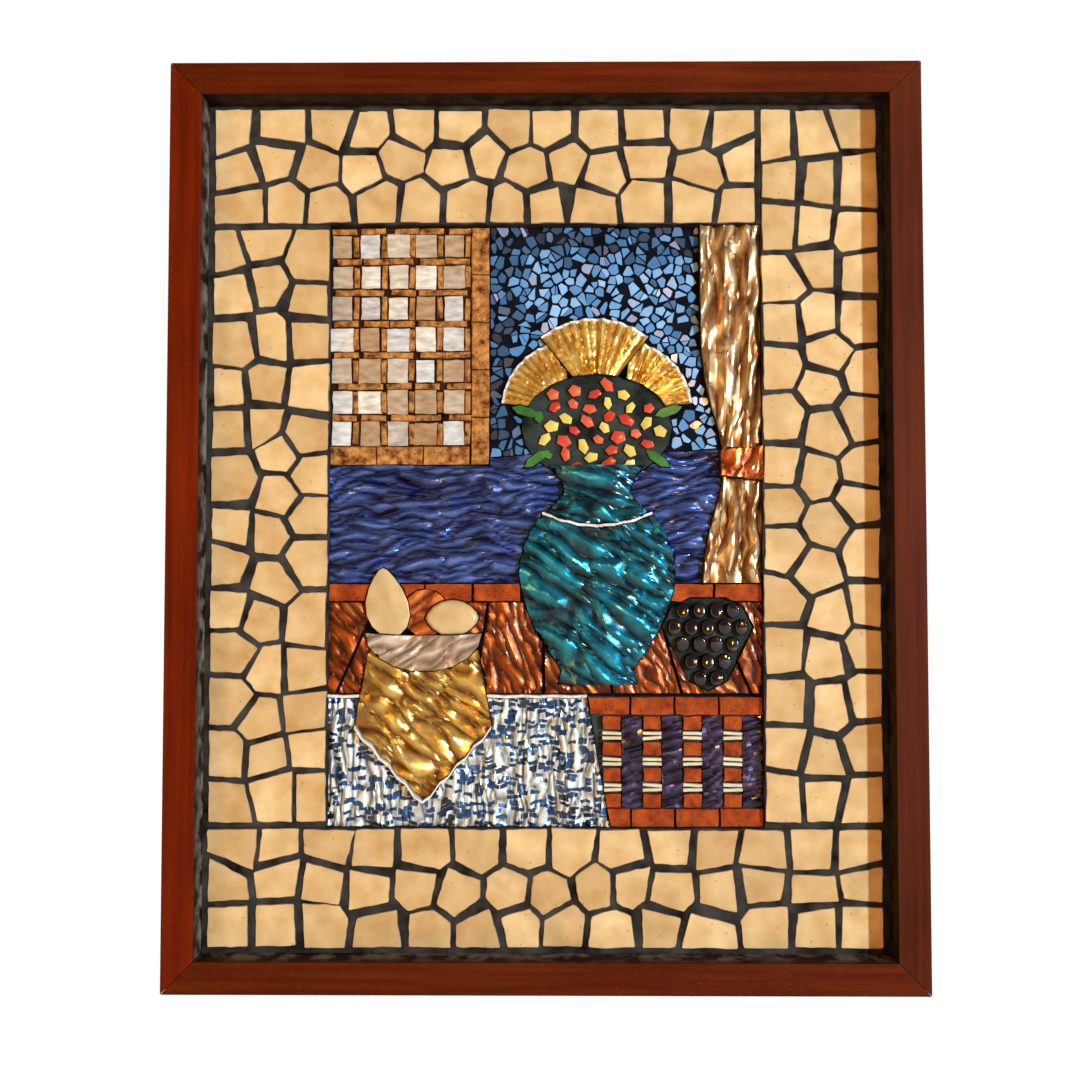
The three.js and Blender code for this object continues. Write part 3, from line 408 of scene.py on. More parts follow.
def make_grain():
    """A fine uneven surface as a bump, with its own mask."""
    inputs = {"Vector": None, "Scale": 400.0, "Strength": 0.3, "Distance": 0.0004}
    group, given, result = shader_group("fine_grain", inputs, ["Normal", "Mask"])
    cloud = node(group, "ShaderNodeTexNoise")
    cloud.inputs["Detail"].default_value = 6
    cloud.inputs["Roughness"].default_value = 0.65
    bump = node(group, "ShaderNodeBump")
    linked(group, [
        (given.outputs["Vector"], cloud.inputs["Vector"]),
        (given.outputs["Scale"], cloud.inputs["Scale"]),
        (cloud.outputs["Fac"], bump.inputs["Height"]),
        (given.outputs["Strength"], bump.inputs["Strength"]),
        (given.outputs["Distance"], bump.inputs["Distance"]),
        (bump.outputs["Normal"], result.inputs["Normal"]),
        (cloud.outputs["Fac"], result.inputs["Mask"]),
    ])
    return group


def make_specks():
    """Small scattered spots."""
    inputs = {"Vector": None, "Scale": 300.0, "Size": 0.25}
    group, given, result = shader_group("specks", inputs, ["Mask"])
    cells = node(group, "ShaderNodeTexVoronoi", feature="F1")
    less = node(group, "ShaderNodeMath", operation="LESS_THAN")
    linked(group, [
        (given.outputs["Vector"], cells.inputs["Vector"]),
        (given.outputs["Scale"], cells.inputs["Scale"]),
        (cells.outputs["Distance"], less.inputs[0]),
        (given.outputs["Size"], less.inputs[1]),
        (less.outputs[0], result.inputs["Mask"]),
    ])
    return group


CLOUDING = make_clouding()
GRAIN = make_grain()
SPECKS = make_specks()


def fitted(tree, group, vector, **values):
    """Places a node group in a material with values of its own."""
    placed = node(tree, "ShaderNodeGroup", node_tree=group)
    tree.links.new(vector, placed.inputs["Vector"])
    for key, value in values.items():
        placed.inputs[key].default_value = (*value, 1) if isinstance(value, tuple) else value
    return placed


def clouded(tree, place, scale, detail, low=(0, 0, 0), high=(1, 1, 1)):
    """Soft clouds between two colours."""
    return fitted(tree, CLOUDING, place, Scale=scale, Detail=detail, Low=low, High=high)


def blank(name, roughness=0.5, metallic=0.0, coat=0.0, coat_roughness=0.1, specular=0.5):
    """A material with its shader, and the Object coordinates that every pattern follows."""
    material = bpy.data.materials.new(name)
    material.use_nodes = True
    tree = material.node_tree
    shader = tree.nodes["Principled BSDF"]
    for key, value in (
        ("Roughness", roughness), ("Metallic", metallic), ("Specular IOR Level", specular),
        ("Coat Weight", coat), ("Coat Roughness", coat_roughness),
    ):
        shader.inputs[key].default_value = value
    place = node(tree, "ShaderNodeTexCoord").outputs["Object"]
    return material, tree, shader, place


def joined(tree, shader, colour, bumps=None, roughness=None):
    """Leads a colour into the shader, with a group's fine bumps and a varying roughness where given."""
    tree.links.new(colour, shader.inputs["Base Color"])
    if bumps is not None:
        tree.links.new(bumps.outputs["Normal"], shader.inputs["Normal"])
    if roughness is not None:
        tree.links.new(roughness, shader.inputs["Roughness"])


def stretched_place(tree, place, scale, turn=0.0):
    """The Object coordinates, stretched and turned about the line of sight."""
    mapping = node(tree, "ShaderNodeMapping")
    mapping.inputs["Scale"].default_value = scale
    mapping.inputs["Rotation"].default_value = (0, turn, 0)
    tree.links.new(place, mapping.inputs["Vector"])
    return mapping.outputs["Vector"]


def tone_of(tree):
    """The three tones that a piece keeps at its corners; a foil keeps the height of its creases, from which
    its material paints shade and highlights.
    """
    tones = node(tree, "ShaderNodeAttribute", attribute_name="tone")
    split = node(tree, "ShaderNodeSeparateColor")
    tree.links.new(tones.outputs["Color"], split.inputs["Color"])
    return split.outputs


def frame_wood(name, is_level, low, high):
    """Dark red-brown stain under satin varnish, with fine grain along the rail."""
    material, tree, shader, place = blank(name, roughness=0.5, specular=0.06)
    along = (6, 60, 160) if is_level else (160, 60, 6)
    grain = stretched_place(tree, place, along)
    streaks = clouded(tree, grain, 1.0, 8, low, high)
    stain = clouded(tree, place, 9.0, 3, (0.55, 0.5, 0.5))
    worn = fitted(tree, SPECKS, place, Scale=420.0, Size=0.1)
    colour = mixed(tree, 0.55, streaks.outputs["Colour"], stain.outputs["Colour"], "MULTIPLY")
    colour = mixed(tree, worn.outputs["Mask"], colour, (0.28, 0.09, 0.035))
    long_pores = stretched_place(tree, place, tuple(v / 6 for v in along))
    pores = fitted(tree, GRAIN, long_pores, Scale=30.0, Strength=0.25)
    joined(tree, shader, colour, pores, mapped(tree, streaks.outputs["Mask"], 0, 1, 0.44, 0.6))
    return material


def inner_wall(name, most_dust_and_light):
    """The frame's inner walls: stained nearly black, with grout dust towards the tiles. Each copy takes its
    own share of the pale smear: the left and bottom walls much, partly grout dust and partly painted light,
    the top and right walls little, as painted shade.
    """
    material, tree, shader, place = blank(name, roughness=0.75, specular=0.15)
    stain = clouded(tree, place, 30.0, 5, (0.008, 0.002, 0.0005), (0.03, 0.007, 0.002))
    smear = clouded(tree, place, 65.0, 7)
    # The pale smear is partly grout dust and, by each copy's share, partly painted light and shade.
    dust = mapped(tree, smear.outputs["Mask"], 0.3, 0.8, 0, most_dust_and_light)
    low_down = mapped(tree, depth_of(tree, place), -0.044, -0.024, 0.1, 1)
    colour = mixed(tree, product(tree, dust, low_down), stain.outputs["Colour"], (0.24, 0.20, 0.14))
    joined(tree, shader, colour)
    return material


def board_wood():
    """Plain unfinished plywood."""
    material, tree, shader, place = blank("board_wood", roughness=0.8)
    streaks = clouded(
        tree, stretched_place(tree, place, (90, 90, 5)), 1.0, 6, (0.30, 0.18, 0.08), (0.46, 0.30, 0.15),
    )
    pores = fitted(tree, GRAIN, stretched_place(tree, place, (3, 3, 0.3)), Scale=200.0)
    joined(tree, shader, streaks.outputs["Colour"], pores)
    return material


def grout(name, dark, light):
    """Rough dark grout with dusty grey-green smears."""
    material, tree, shader, place = blank(name, roughness=0.9, specular=0.08)
    smear = clouded(tree, place, 45.0, 6, dark, light)
    sand = fitted(tree, GRAIN, place, Scale=700.0, Strength=0.7, Distance=0.0008)
    joined(tree, shader, smear.outputs["Colour"], sand)
    return material


def border_tile():
    """Satin cream-tan glaze, each tile a little different, with smudges of grout dust."""
    material, tree, shader, place = blank("border_tile", roughness=0.5, specular=0.15)
    tones = tone_of(tree)
    glaze = mixed(tree, tones[0], (0.68, 0.45, 0.19), (0.88, 0.63, 0.29))
    mottle = clouded(tree, place, 42.0, 7, (0.72, 0.56, 0.36))
    smudge = clouded(tree, place, 24.0, 7)
    dust = mapped(tree, smudge.outputs["Mask"], 0.6, 1.0, 0, 0.5)
    dot = fitted(tree, SPECKS, place, Scale=95.0, Size=0.07)
    colour = mixed(tree, 0.8, glaze, mottle.outputs["Colour"], "MULTIPLY")
    colour = mixed(tree, dust, colour, (0.46, 0.30, 0.12))
    colour = mixed(tree, dot.outputs["Mask"], colour, (0.35, 0.2, 0.1))
    skin = fitted(tree, GRAIN, place, Scale=90.0, Strength=0.12)
    joined(tree, shader, colour, skin, mapped(tree, mottle.outputs["Mask"], 0, 1, 0.34, 0.5))
    return material


def foil_finish(name, dark, light, painted_crease_shade, roughness=0.26, gloss_and_painted_highlight=0.5, stretch=(1, 1, 1)):
    """Crumpled metal foil: coloured lacquer, with painted shade in the creases and a painted highlight on the
    crests.
    """
    material, tree, shader, place = blank(name, roughness, metallic=0.7, coat=gloss_and_painted_highlight, coat_roughness=0.14)
    bent = stretched_place(tree, place, stretch)
    cloud = clouded(tree, bent, 60.0, 4, dark, light)
    fine = fitted(tree, GRAIN, bent, Scale=180.0, Strength=0.25, Distance=0.0008)
    height = tone_of(tree)[0]
    # Painted shade: darker towards the crease colour where the foil lies low.
    colour = mixed(tree, mapped(tree, height, 0.05, 0.52, 0.95, 0), cloud.outputs["Colour"], painted_crease_shade)
    # Painted highlight: paler towards a light tint on the crests, more so on glossier foil.
    painted_crest_highlight = tuple(value ** 0.6 for value in light)
    colour = mixed(tree, mapped(tree, height, 0.7, 0.95, 0, 1.3 * gloss_and_painted_highlight), colour, painted_crest_highlight)
    uneven = mapped(tree, cloud.outputs["Mask"], 0, 1, roughness - 0.06, roughness + 0.08)
    joined(tree, shader, colour, fine, uneven)
    return material


def patterned_foil():
    """White foil printed with short blue dashes."""
    material, tree, shader, place = blank("patterned_foil", roughness=0.26, metallic=0.2, coat=0.6)
    warp = node(tree, "ShaderNodeTexNoise")
    warp.inputs["Scale"].default_value = 45
    pushed = node(tree, "ShaderNodeVectorMath", operation="MULTIPLY_ADD")
    pushed.inputs[1].default_value = (0.012, 0, 0.016)
    cells = node(tree, "ShaderNodeTexVoronoi", feature="F1", distance="CHEBYCHEV")
    cells.inputs["Scale"].default_value = 1
    cells.inputs["Randomness"].default_value = 0.75
    inked = node(tree, "ShaderNodeMath", operation="LESS_THAN")
    inked.inputs[1].default_value = 0.41
    linked(tree, [
        (place, warp.inputs["Vector"]),
        (warp.outputs["Color"], pushed.inputs[0]),
        (place, pushed.inputs[2]),
        (stretched_place(tree, pushed.outputs[0], (110, 0, 235)), cells.inputs["Vector"]),
        (cells.outputs["Distance"], inked.inputs[0]),
    ])
    fine = fitted(tree, GRAIN, place, Scale=200.0, Strength=0.3, Distance=0.0008)
    white = clouded(tree, place, 60.0, 4, (0.80, 0.76, 0.55), (0.90, 1, 1))
    blue = clouded(tree, place, 50.0, 2, (0.001, 0.008, 0.03), (0.003, 0.075, 0.19))
    # Painted shade: the paper darkens towards brown where the foil lies low in its creases.
    depth = mapped(tree, tone_of(tree)[0], 0.05, 0.42, 1, 0)
    paper = mixed(tree, depth, white.outputs["Colour"], (0.11, 0.08, 0.04))
    joined(tree, shader, mixed(tree, inked.outputs[0], paper, blue.outputs["Colour"]), fine)
    return material


def blue_shard():
    """Glossy glazed shards in several blues, a few of clear silvery glass."""
    material, tree, shader, place = blank("blue_glass", roughness=0.18, coat=0.5, coat_roughness=0.05)
    tones = tone_of(tree)
    ramp = node(tree, "ShaderNodeValToRGB")
    stops = [(0.0, (0.035, 0.035, 0.045)), (0.25, (0.045, 0.085, 0.14)), (0.5, (0.05, 0.16, 0.31)),
             (0.75, (0.13, 0.33, 0.57)), (1.0, (0.30, 0.56, 0.78))]
    while len(ramp.color_ramp.elements) < len(stops):
        ramp.color_ramp.elements.new(0.5)
    for element, (position, colour) in zip(ramp.color_ramp.elements, stops):
        element.position = position
        element.color = (*colour, 1)
    cloud = clouded(tree, place, 180.0, 3, (0.8, 0.82, 0.86))
    colour = mixed(tree, 0.7, ramp.outputs["Color"], cloud.outputs["Colour"], "MULTIPLY")
    colour = mixed(tree, mapped(tree, tones[1], 0.94, 0.945, 0, 1), colour, (0.45, 0.55, 0.75))
    tree.links.new(tones[0], ramp.inputs["Fac"])
    tree.links.new(mapped(tree, tones[1], 0.94, 0.945, 0, 0.35), shader.inputs["Metallic"])
    joined(tree, shader, colour, None, mapped(tree, tones[2], 0, 1, 0.1, 0.3))
    return material


def shell_pane():
    """Pearly shell, from white through warm grey to pale aqua."""
    material, tree, shader, place = blank("shell", roughness=0.2, coat=0.6, coat_roughness=0.08)
    tones = tone_of(tree)
    base = mixed(tree, mapped(tree, tones[0], 0.2, 0.9, 0, 1), (0.97, 0.94, 0.78), (0.50, 0.31, 0.13))
    base = mixed(tree, mapped(tree, tones[1], 0.6, 0.9, 0, 0.7), base, (0.84, 0.94, 0.92))
    layers = clouded(tree, stretched_place(tree, place, (1, 1, 2.6), 0.5), 75.0, 6, (0.44, 0.30, 0.17))
    colour = mixed(tree, 0.75, base, layers.outputs["Colour"], "MULTIPLY")
    joined(tree, shader, colour, fitted(tree, GRAIN, place, Scale=120.0, Strength=0.3))
    return material


def stone(name, dark, light, spot, scale=70.0, roughness=0.6, coat=0.0):
    """Marbled or speckled tile."""
    material, tree, shader, place = blank(name, roughness=roughness, coat=coat, specular=0.1)
    cloud = clouded(tree, place, scale, 8, dark, light)
    small = fitted(tree, SPECKS, place, Scale=620.0, Size=0.32)
    blotch = clouded(tree, place, 170.0, 4)
    spots = product(tree, small.outputs["Mask"], mapped(tree, blotch.outputs["Mask"], 0.35, 0.75, 0.1, 0.9))
    colour = mixed(tree, spots, cloud.outputs["Colour"], spot)
    joined(tree, shader, colour, fitted(tree, GRAIN, place, Scale=350.0, Strength=0.5))
    return material


def glazed(name, low, high, roughness=0.25, coat=0.4, scale=60.0):
    """Plain glazed ceramic or glass with a slight variation."""
    material, tree, shader, place = blank(name, roughness=roughness, coat=coat)
    cloud = clouded(tree, place, scale, 5, low, high)
    joined(tree, shader, cloud.outputs["Colour"], fitted(tree, GRAIN, place, Scale=90.0, Strength=0.15))
    return material


def petal_glass():
    """Red and yellow drops."""
    material, tree, shader, place = blank("flower_glass", roughness=0.25, coat=0.5)
    tones = tone_of(tree)
    red = mixed(tree, tones[1], (0.62, 0.035, 0.02), (0.78, 0.12, 0.05))
    colour = mixed(tree, mapped(tree, tones[0], 0.55, 0.56, 0, 1), red, (0.85, 0.62, 0.12))
    cloud = clouded(tree, place, 160.0, 3, (0.75, 0.75, 0.75))
    colour = mixed(tree, 0.8, colour, cloud.outputs["Colour"], "MULTIPLY")
    joined(tree, shader, colour)
    return material


# Painted light and shade: one stained wood in three copies, the left stile's lighter and redder, the right
# stile's and the level rails' darker.
LEVEL_WOOD = frame_wood("frame_wood_level", True, (0.075, 0.008, 0.0004), (0.135, 0.019, 0.001))
LEFT_WOOD = frame_wood("frame_wood_left", False, (0.115, 0.008, 0.0003), (0.19, 0.017, 0.0006))
RIGHT_WOOD = frame_wood("frame_wood_right", False, (0.070, 0.010, 0.0008), (0.125, 0.021, 0.0025))
# Painted shade: the top and right inner walls take little pale smear; on the left and bottom walls the smear
# is partly grout dust and partly painted light.
SHADED_WALL = inner_wall("inner_wall_painted_shade", 0.15)
DUSTY_LIT_WALL = inner_wall("inner_wall_dust_and_painted_light", 0.95)
BOARD_WOOD = board_wood()
BORDER_GROUT = grout("border_grout", (0.006, 0.003, 0.001), (0.062, 0.056, 0.045))
SHUTTER_GROUT = grout("shutter_grout", (0.010, 0.003, 0.001), (0.06, 0.022, 0.008))
BED_GROUT = grout("bed_grout", (0.001, 0.0015, 0.003), (0.008, 0.009, 0.012))
GREEN_GROUT = grout("green_grout", (0.006, 0.008, 0.006), (0.05, 0.062, 0.048))
BORDER_TILE = border_tile()
TILE_EDGE = glazed("tile_edge", (0.20, 0.115, 0.05), (0.62, 0.42, 0.22), 0.6, 0.0, 55.0)
BLUE_GLASS = blue_shard()
SHELL = shell_pane()
MARBLE = stone(
    "marbled_strip", (0.10, 0.018, 0.002), (0.70, 0.31, 0.075), (0.035, 0.007, 0.001), 160.0, 0.35, 0.3,
)
BRICK = stone("brick_tile", (0.20, 0.024, 0.002), (0.50, 0.085, 0.009), (0.05, 0.008, 0.002), 90.0, 0.62)
SLIVER = glazed("cream_sliver", (0.62, 0.50, 0.28), (0.82, 0.72, 0.48), 0.45, 0.1)
# The third colour of each foil is the painted shade in its creases.
STRIP_FOIL = foil_finish(
    "dark_strip_foil", (0.014, 0.011, 0.035), (0.10, 0.08, 0.21), (0.003, 0.002, 0.005), 0.3,
)
BLUE_FOIL = foil_finish(
    "blue_foil", (0.008, 0.02, 0.14), (0.17, 0.32, 0.88), (0.002, 0.001, 0.012), 0.24, stretch=(0.35, 1, 1.6),
)
TEAL_FOIL = foil_finish("teal_foil", (0.0, 0.062, 0.095), (0.014, 0.46, 0.60), (0.0, 0.004, 0.006), 0.24, 0.7)
GOLD_FOIL = foil_finish("gold_foil", (0.64, 0.28, 0.012), (1.0, 0.73, 0.18), (0.14, 0.035, 0.001), 0.26, 0.65)
CREAM_FOIL = foil_finish("cream_foil", (0.70, 0.55, 0.38), (0.95, 0.85, 0.68), (0.28, 0.18, 0.10), 0.36)
CHAMPAGNE_FOIL = foil_finish(
    "champagne_foil", (0.54, 0.26, 0.07), (0.98, 0.72, 0.36), (0.14, 0.045, 0.005), 0.32, 0.3,
    stretch=(1.5, 1, 0.45),
)
ORANGE_FOIL = foil_finish("orange_foil", (0.55, 0.08, 0.006), (0.95, 0.29, 0.05), (0.14, 0.015, 0.003), 0.3)
PLANK_FOIL = foil_finish(
    "plank_foil", (0.17, 0.022, 0.0), (0.50, 0.105, 0.002), (0.022, 0.003, 0.0), 0.36, 0.25,
)
PATTERNED_FOIL = patterned_foil()
PIPING = glazed("piping", (0.62, 0.55, 0.42), (0.92, 0.88, 0.78), 0.45, 0.1, 200.0)
FRUIT_CERAMIC = glazed("fruit_ceramic", (0.52, 0.33, 0.12), (0.76, 0.53, 0.23), 0.3, 0.3, 45.0)
BLACK_GLASS = glazed("black_glass", (0.004, 0.004, 0.005), (0.012, 0.012, 0.014), 0.12, 0.6)
PETAL_GLASS = petal_glass()
LEAF_GLASS = glazed("leaf_glass", (0.012, 0.10, 0.015), (0.05, 0.24, 0.04), 0.3, 0.3, 90.0)


# The frame and the border

def make_rails():
    """The four mitred rails, with their inner walls nearly black."""
    for side, wood, inner in (
        ("top_rail", LEVEL_WOOD, SHADED_WALL), ("bottom_rail", LEVEL_WOOD, DUSTY_LIT_WALL),
        ("left_stile", LEFT_WOOD, DUSTY_LIT_WALL), ("right_stile", RIGHT_WOOD, SHADED_WALL),
    ):
        bm = copied(f"frame_{side}")
        bevelled(bm, bm.edges, RAIL_ARRIS, 2)
        bm.normal_update()
        for face in bm.faces:
            inwards = PANEL_MIDDLE - face.calc_center_median()
            squarely = max(abs(face.normal.x), abs(face.normal.z)) > 0.99
            face.material_index = int(squarely and face.normal.dot(inwards) > 0)
        finished(bm, side, [f"frame_{side}"], [wood, inner])


def make_border():
    """Each side's broken tiles, and the slab of grout that they sit in."""
    for number, side in enumerate(("left", "right", "top", "bottom")):
        node_name = f"border_tiles_{side}"
        rng = random.Random(SEEDS["border"] + number)
        bm = front_outlines([node_name], TILE_FRONTS)
        for face in bm.faces:
            middle = face.calc_center_median()
            resized(bm, face, rng.uniform(*TILE_STRETCH), rng.uniform(*TILE_STRETCH))
            turn = Matrix.Rotation(rng.uniform(-TILE_TURN, TILE_TURN), 3, "Y")
            bmesh.ops.rotate(bm, cent=middle, matrix=turn, verts=face.verts)
        low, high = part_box(node_name)
        for vert in bm.verts:
            vert.co.x = min(high.x, max(low.x, vert.co.x))
            vert.co.z = min(high.z, max(low.z, vert.co.z))
        broken(bm, 1.0 * MM, 4, number, 190)
        bevelled(bm, bm.verts, TILE_CORNER, 1, "VERTICES")
        tilted(bm, rng, TILE_TILT)
        toned(bm, rng)
        thickened(bm, 4 * MM, TILE_ARRIS)
        bm.normal_update()
        for face in bm.faces:
            face.material_index = int(face.normal.y > -0.97)
        finished(bm, f"{side}_border_tiles", [node_name], [BORDER_TILE, TILE_EDGE])
        bed = bmesh.new()
        size = Vector((high.x - low.x, GROUT_RISE - 0.3 * MM, high.z - low.z))
        middle = Vector(((low.x + high.x) / 2, high.y - size.y / 2, (low.z + high.z) / 2))
        bmesh.ops.create_cube(bed, size=1, matrix=Matrix.Translation(middle) @ Matrix.Diagonal((*size, 1)))
        finished(bed, f"{side}_border_grout", [node_name], [BORDER_GROUT])


# Small tiles, shards and slivers

def bedding(name, node_name, rise, material):
    """Lays a thin slab of grout, with the node's outline, under its small pieces."""
    bm = silhouette(node_name)
    bmesh.ops.translate(bm, vec=(0, -rise, 0), verts=bm.verts)
    thickened(bm, rise, 0)
    finished(bm, name, [node_name], [material])


def box_face(bm, x0, z0, x1, z1, rise, turn=0.0):
    """A loose rectangle that looks out of the front."""
    middle = Vector(((x0 + x1) / 2, -BOARD_FACE - rise, (z0 + z1) / 2))
    spread = Matrix.Diagonal((x1 - x0, z1 - z0, 1, 1))
    upright = Matrix.Rotation(math.pi / 2, 4, "X")
    place = Matrix.Translation(middle) @ Matrix.Rotation(turn, 4, "Y") @ upright @ spread
    return bmesh.ops.create_grid(bm, x_segments=1, y_segments=1, size=0.5, matrix=place)["verts"]


def cut_back(bm, face, cuts):
    """Trims a loose face by planes, each given by a point and a normal, and returns what is left."""
    for place, normal in cuts:
        geom = [face, *face.edges, *face.verts]
        cut = bmesh.ops.bisect_plane(bm, geom=geom, plane_co=place, plane_no=normal, clear_outer=True)
        kept = [g for g in cut["geom"] if isinstance(g, bmesh.types.BMFace) and g.is_valid]
        if not kept:
            return None
        face = kept[0]
    return face


def sky_tone(middle, low, high, rng):
    """Light blue, with dusk along the top and beside the shutter, and some dark shards anywhere."""
    height = (middle.z - low.z) / (high.z - low.z)
    side = (middle.x - low.x) / (high.x - low.x)
    dusk = max(0, (height - 0.8) / 0.2) + max(0, (0.2 - side) / 0.2)
    shade = 0.9 + rng.uniform(-0.2, 0.1) - 0.62 * min(1, dusk * rng.uniform(0.3, 1.5))
    if rng.random() < 0.14:
        shade -= 0.35
    return min(1, max(0.02, shade)), rng.random(), rng.random()


def shard_middles(low, high, rng):
    """The shards' middles, in staggered rows, each strayed from its place."""
    columns = int((high.x - low.x) / SHARD_PITCH) + 1
    rows = int((high.z - low.z) / SHARD_PITCH) + 1
    middles = {}
    for i in range(-1, columns + 1):
        for k in range(-1, rows + 1):
            x = low.x + (i + 0.5 + 0.5 * (k % 2) + rng.uniform(-SHARD_DRIFT, SHARD_DRIFT)) * SHARD_PITCH
            z = low.z + (k + 0.5 + rng.uniform(-SHARD_DRIFT, SHARD_DRIFT)) * SHARD_PITCH
            middles[i, k] = Vector((x, 0, z))
    return middles


def shard_cuts(place, middles, edges, rng):
    """A shard's snapped sides: its joints with the others, the sky's own edge and two nipped corners."""
    middle = middles[place]
    cuts = []
    near = [(place[0] + di, place[1] + dk) for di in range(-2, 3) for dk in range(-2, 3)]
    for other in (middles[key] for key in near if key in middles and key != place):
        apart = other - middle
        turned = Matrix.Rotation(rng.uniform(-SHARD_CANT, SHARD_CANT), 3, "Y") @ apart.normalized()
        reach = apart.length / 2 - SHARD_JOINT * rng.uniform(0.4, 1.5)
        cuts.append((middle + apart.normalized() * reach, turned))
    for a, b in edges:
        along = b - a
        share = min(1, max(0, (middle - a).dot(along) / along.length_squared))
        foot = a + along * share
        away = Vector((foot.x - middle.x, 0, foot.z - middle.z))
        if 0 < away.length < 1.6 * SHARD_PITCH:
            cuts.append((middle + away - away.normalized() * 0.3 * MM, away))
    for _ in range(2):
        nipped = Matrix.Rotation(rng.uniform(0, math.tau), 3, "Y") @ Vector((1, 0, 0))
        cuts.append((middle + nipped * SHARD_PITCH * rng.uniform(*SHARD_NIP), nipped))
    return cuts


def make_shards():
    """Snapped shards that fill the outline of the sky, cut back from each other and from its edge."""
    rng = random.Random(SEEDS["shards"])
    outline = silhouette("sky_glass")
    edges = [(e.verts[0].co.copy(), e.verts[1].co.copy()) for e in outline.edges]
    outline.free()
    inside = front_of("sky_glass")
    low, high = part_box("sky_glass")
    middles = shard_middles(low, high, rng)
    bm = bmesh.new()
    tone = bm.loops.layers.float_color.new("tone")
    for place, middle in middles.items():
        if inside(middle.x, middle.z, 0) is None:
            continue
        cuts = shard_cuts(place, middles, edges, rng)
        snap = Matrix.Rotation(rng.uniform(0, math.pi), 3, "Y") @ Vector((1, 0, 0))
        half_joint = snap * SHARD_JOINT * rng.uniform(0.3, 0.7)
        halves = [[(middle - half_joint, snap)], [(middle + half_joint, -snap)]]
        for more in halves if rng.random() < SHARD_SNAPPED else [[]]:
            rise = SHARD_RISE + BED_TOP + rng.uniform(-0.5, 0.5) * MM
            verts = box_face(bm, middle.x - SHARD_PITCH, middle.z - SHARD_PITCH, middle.x + SHARD_PITCH,
                             middle.z + SHARD_PITCH, rise)
            face = cut_back(bm, verts[0].link_faces[0], cuts + more)
            if face is None:
                continue
            if face.calc_area() < SMALLEST_SHARD or rng.random() < SHARD_MISSING:
                bmesh.ops.delete(bm, geom=[face], context="FACES")
                continue
            value = sky_tone(middle, low, high, rng)
            for loop in face.loops:
                loop[tone] = (*value, 1)
    tilted(bm, rng, math.radians(6))
    thickened(bm, 1.8 * MM, 0.18 * MM)
    finished(bm, "sky_shards", ["sky_glass"], [BLUE_GLASS])
    bedding("sky_grout", "sky_glass", 1 * MM, BED_GROUT)


def add_strips(bars, boxes, free_side, top, rng):
    """Adds a strip to the right of each pane and one above it, where there is room."""
    for x0, z0, x1, z1 in boxes:
        right = min([b[0] for b in boxes if b[0] > x1 and abs(b[1] - z0) < SHELL_ROW], default=free_side)
        if right - x1 > 4 * MM:
            middle = (x1 + right) / 2
            half = min(2.4 * MM, (right - x1) / 2 - 0.4 * MM)
            turn = rng.uniform(-STRIP_SLANT, STRIP_SLANT)
            box_face(bars, middle - half, z0 + rng.uniform(-1, 1) * MM, middle + half,
                     z1 + rng.uniform(-1, 1) * MM, STRIP_RISE, turn)
        above = min([b[1] for b in boxes if b[1] > z1 and abs(b[0] - x0) < SHELL_ROW], default=top)
        if above - z1 > 4 * MM:
            middle = (z1 + above) / 2
            half = min(2.6 * MM, (above - z1) / 2 - 0.5 * MM)
            slip = rng.uniform(-2, 5) * MM
            end = min(x1 + slip + 5 * MM, free_side - 0.5 * MM)
            turn = rng.uniform(-STRIP_SLANT, STRIP_SLANT)
            box_face(bars, x0 + slip, middle - half, end, middle + half, STRIP_RISE + 0.2 * MM, turn)


def make_shutter():
    """Shell panes between marbled strips, with a heavier marbled bar on the free side."""
    rng = random.Random(SEEDS["shutter"])
    panes = front_outlines(["shell_shutter"], PANE_FRONTS)
    boxes = [face_box(face) for face in panes.faces]
    for face in panes.faces:
        resized(panes, face, rng.uniform(0.95, 1.25), rng.uniform(1.0, 1.15))
    broken(panes, 1.0 * MM, 2, 3)
    tilted(panes, rng, math.radians(2.5))
    toned(panes, rng)
    thickened(panes, 1.6 * MM, 0.3 * MM)
    finished(panes, "shell_panes", ["shell_shutter"], [SHELL])
    bars = front_outlines(["shell_shutter"], BAR_FRONTS)
    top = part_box("shell_shutter")[1].z
    free_side = min(v.co.x for f in bars.faces for v in f.verts if f.calc_center_median().z > top - 60 * MM)
    add_strips(bars, boxes, free_side, top, rng)
    broken(bars, 0.7 * MM, 3, 5)
    tilted(bars, rng, math.radians(2))
    thickened(bars, 3 * MM, 0.7 * MM)
    finished(bars, "marbled_strips", ["shell_shutter"], [MARBLE])
    bedding("shutter_bed", "shell_shutter", 1.2 * MM, SHUTTER_GROUT)


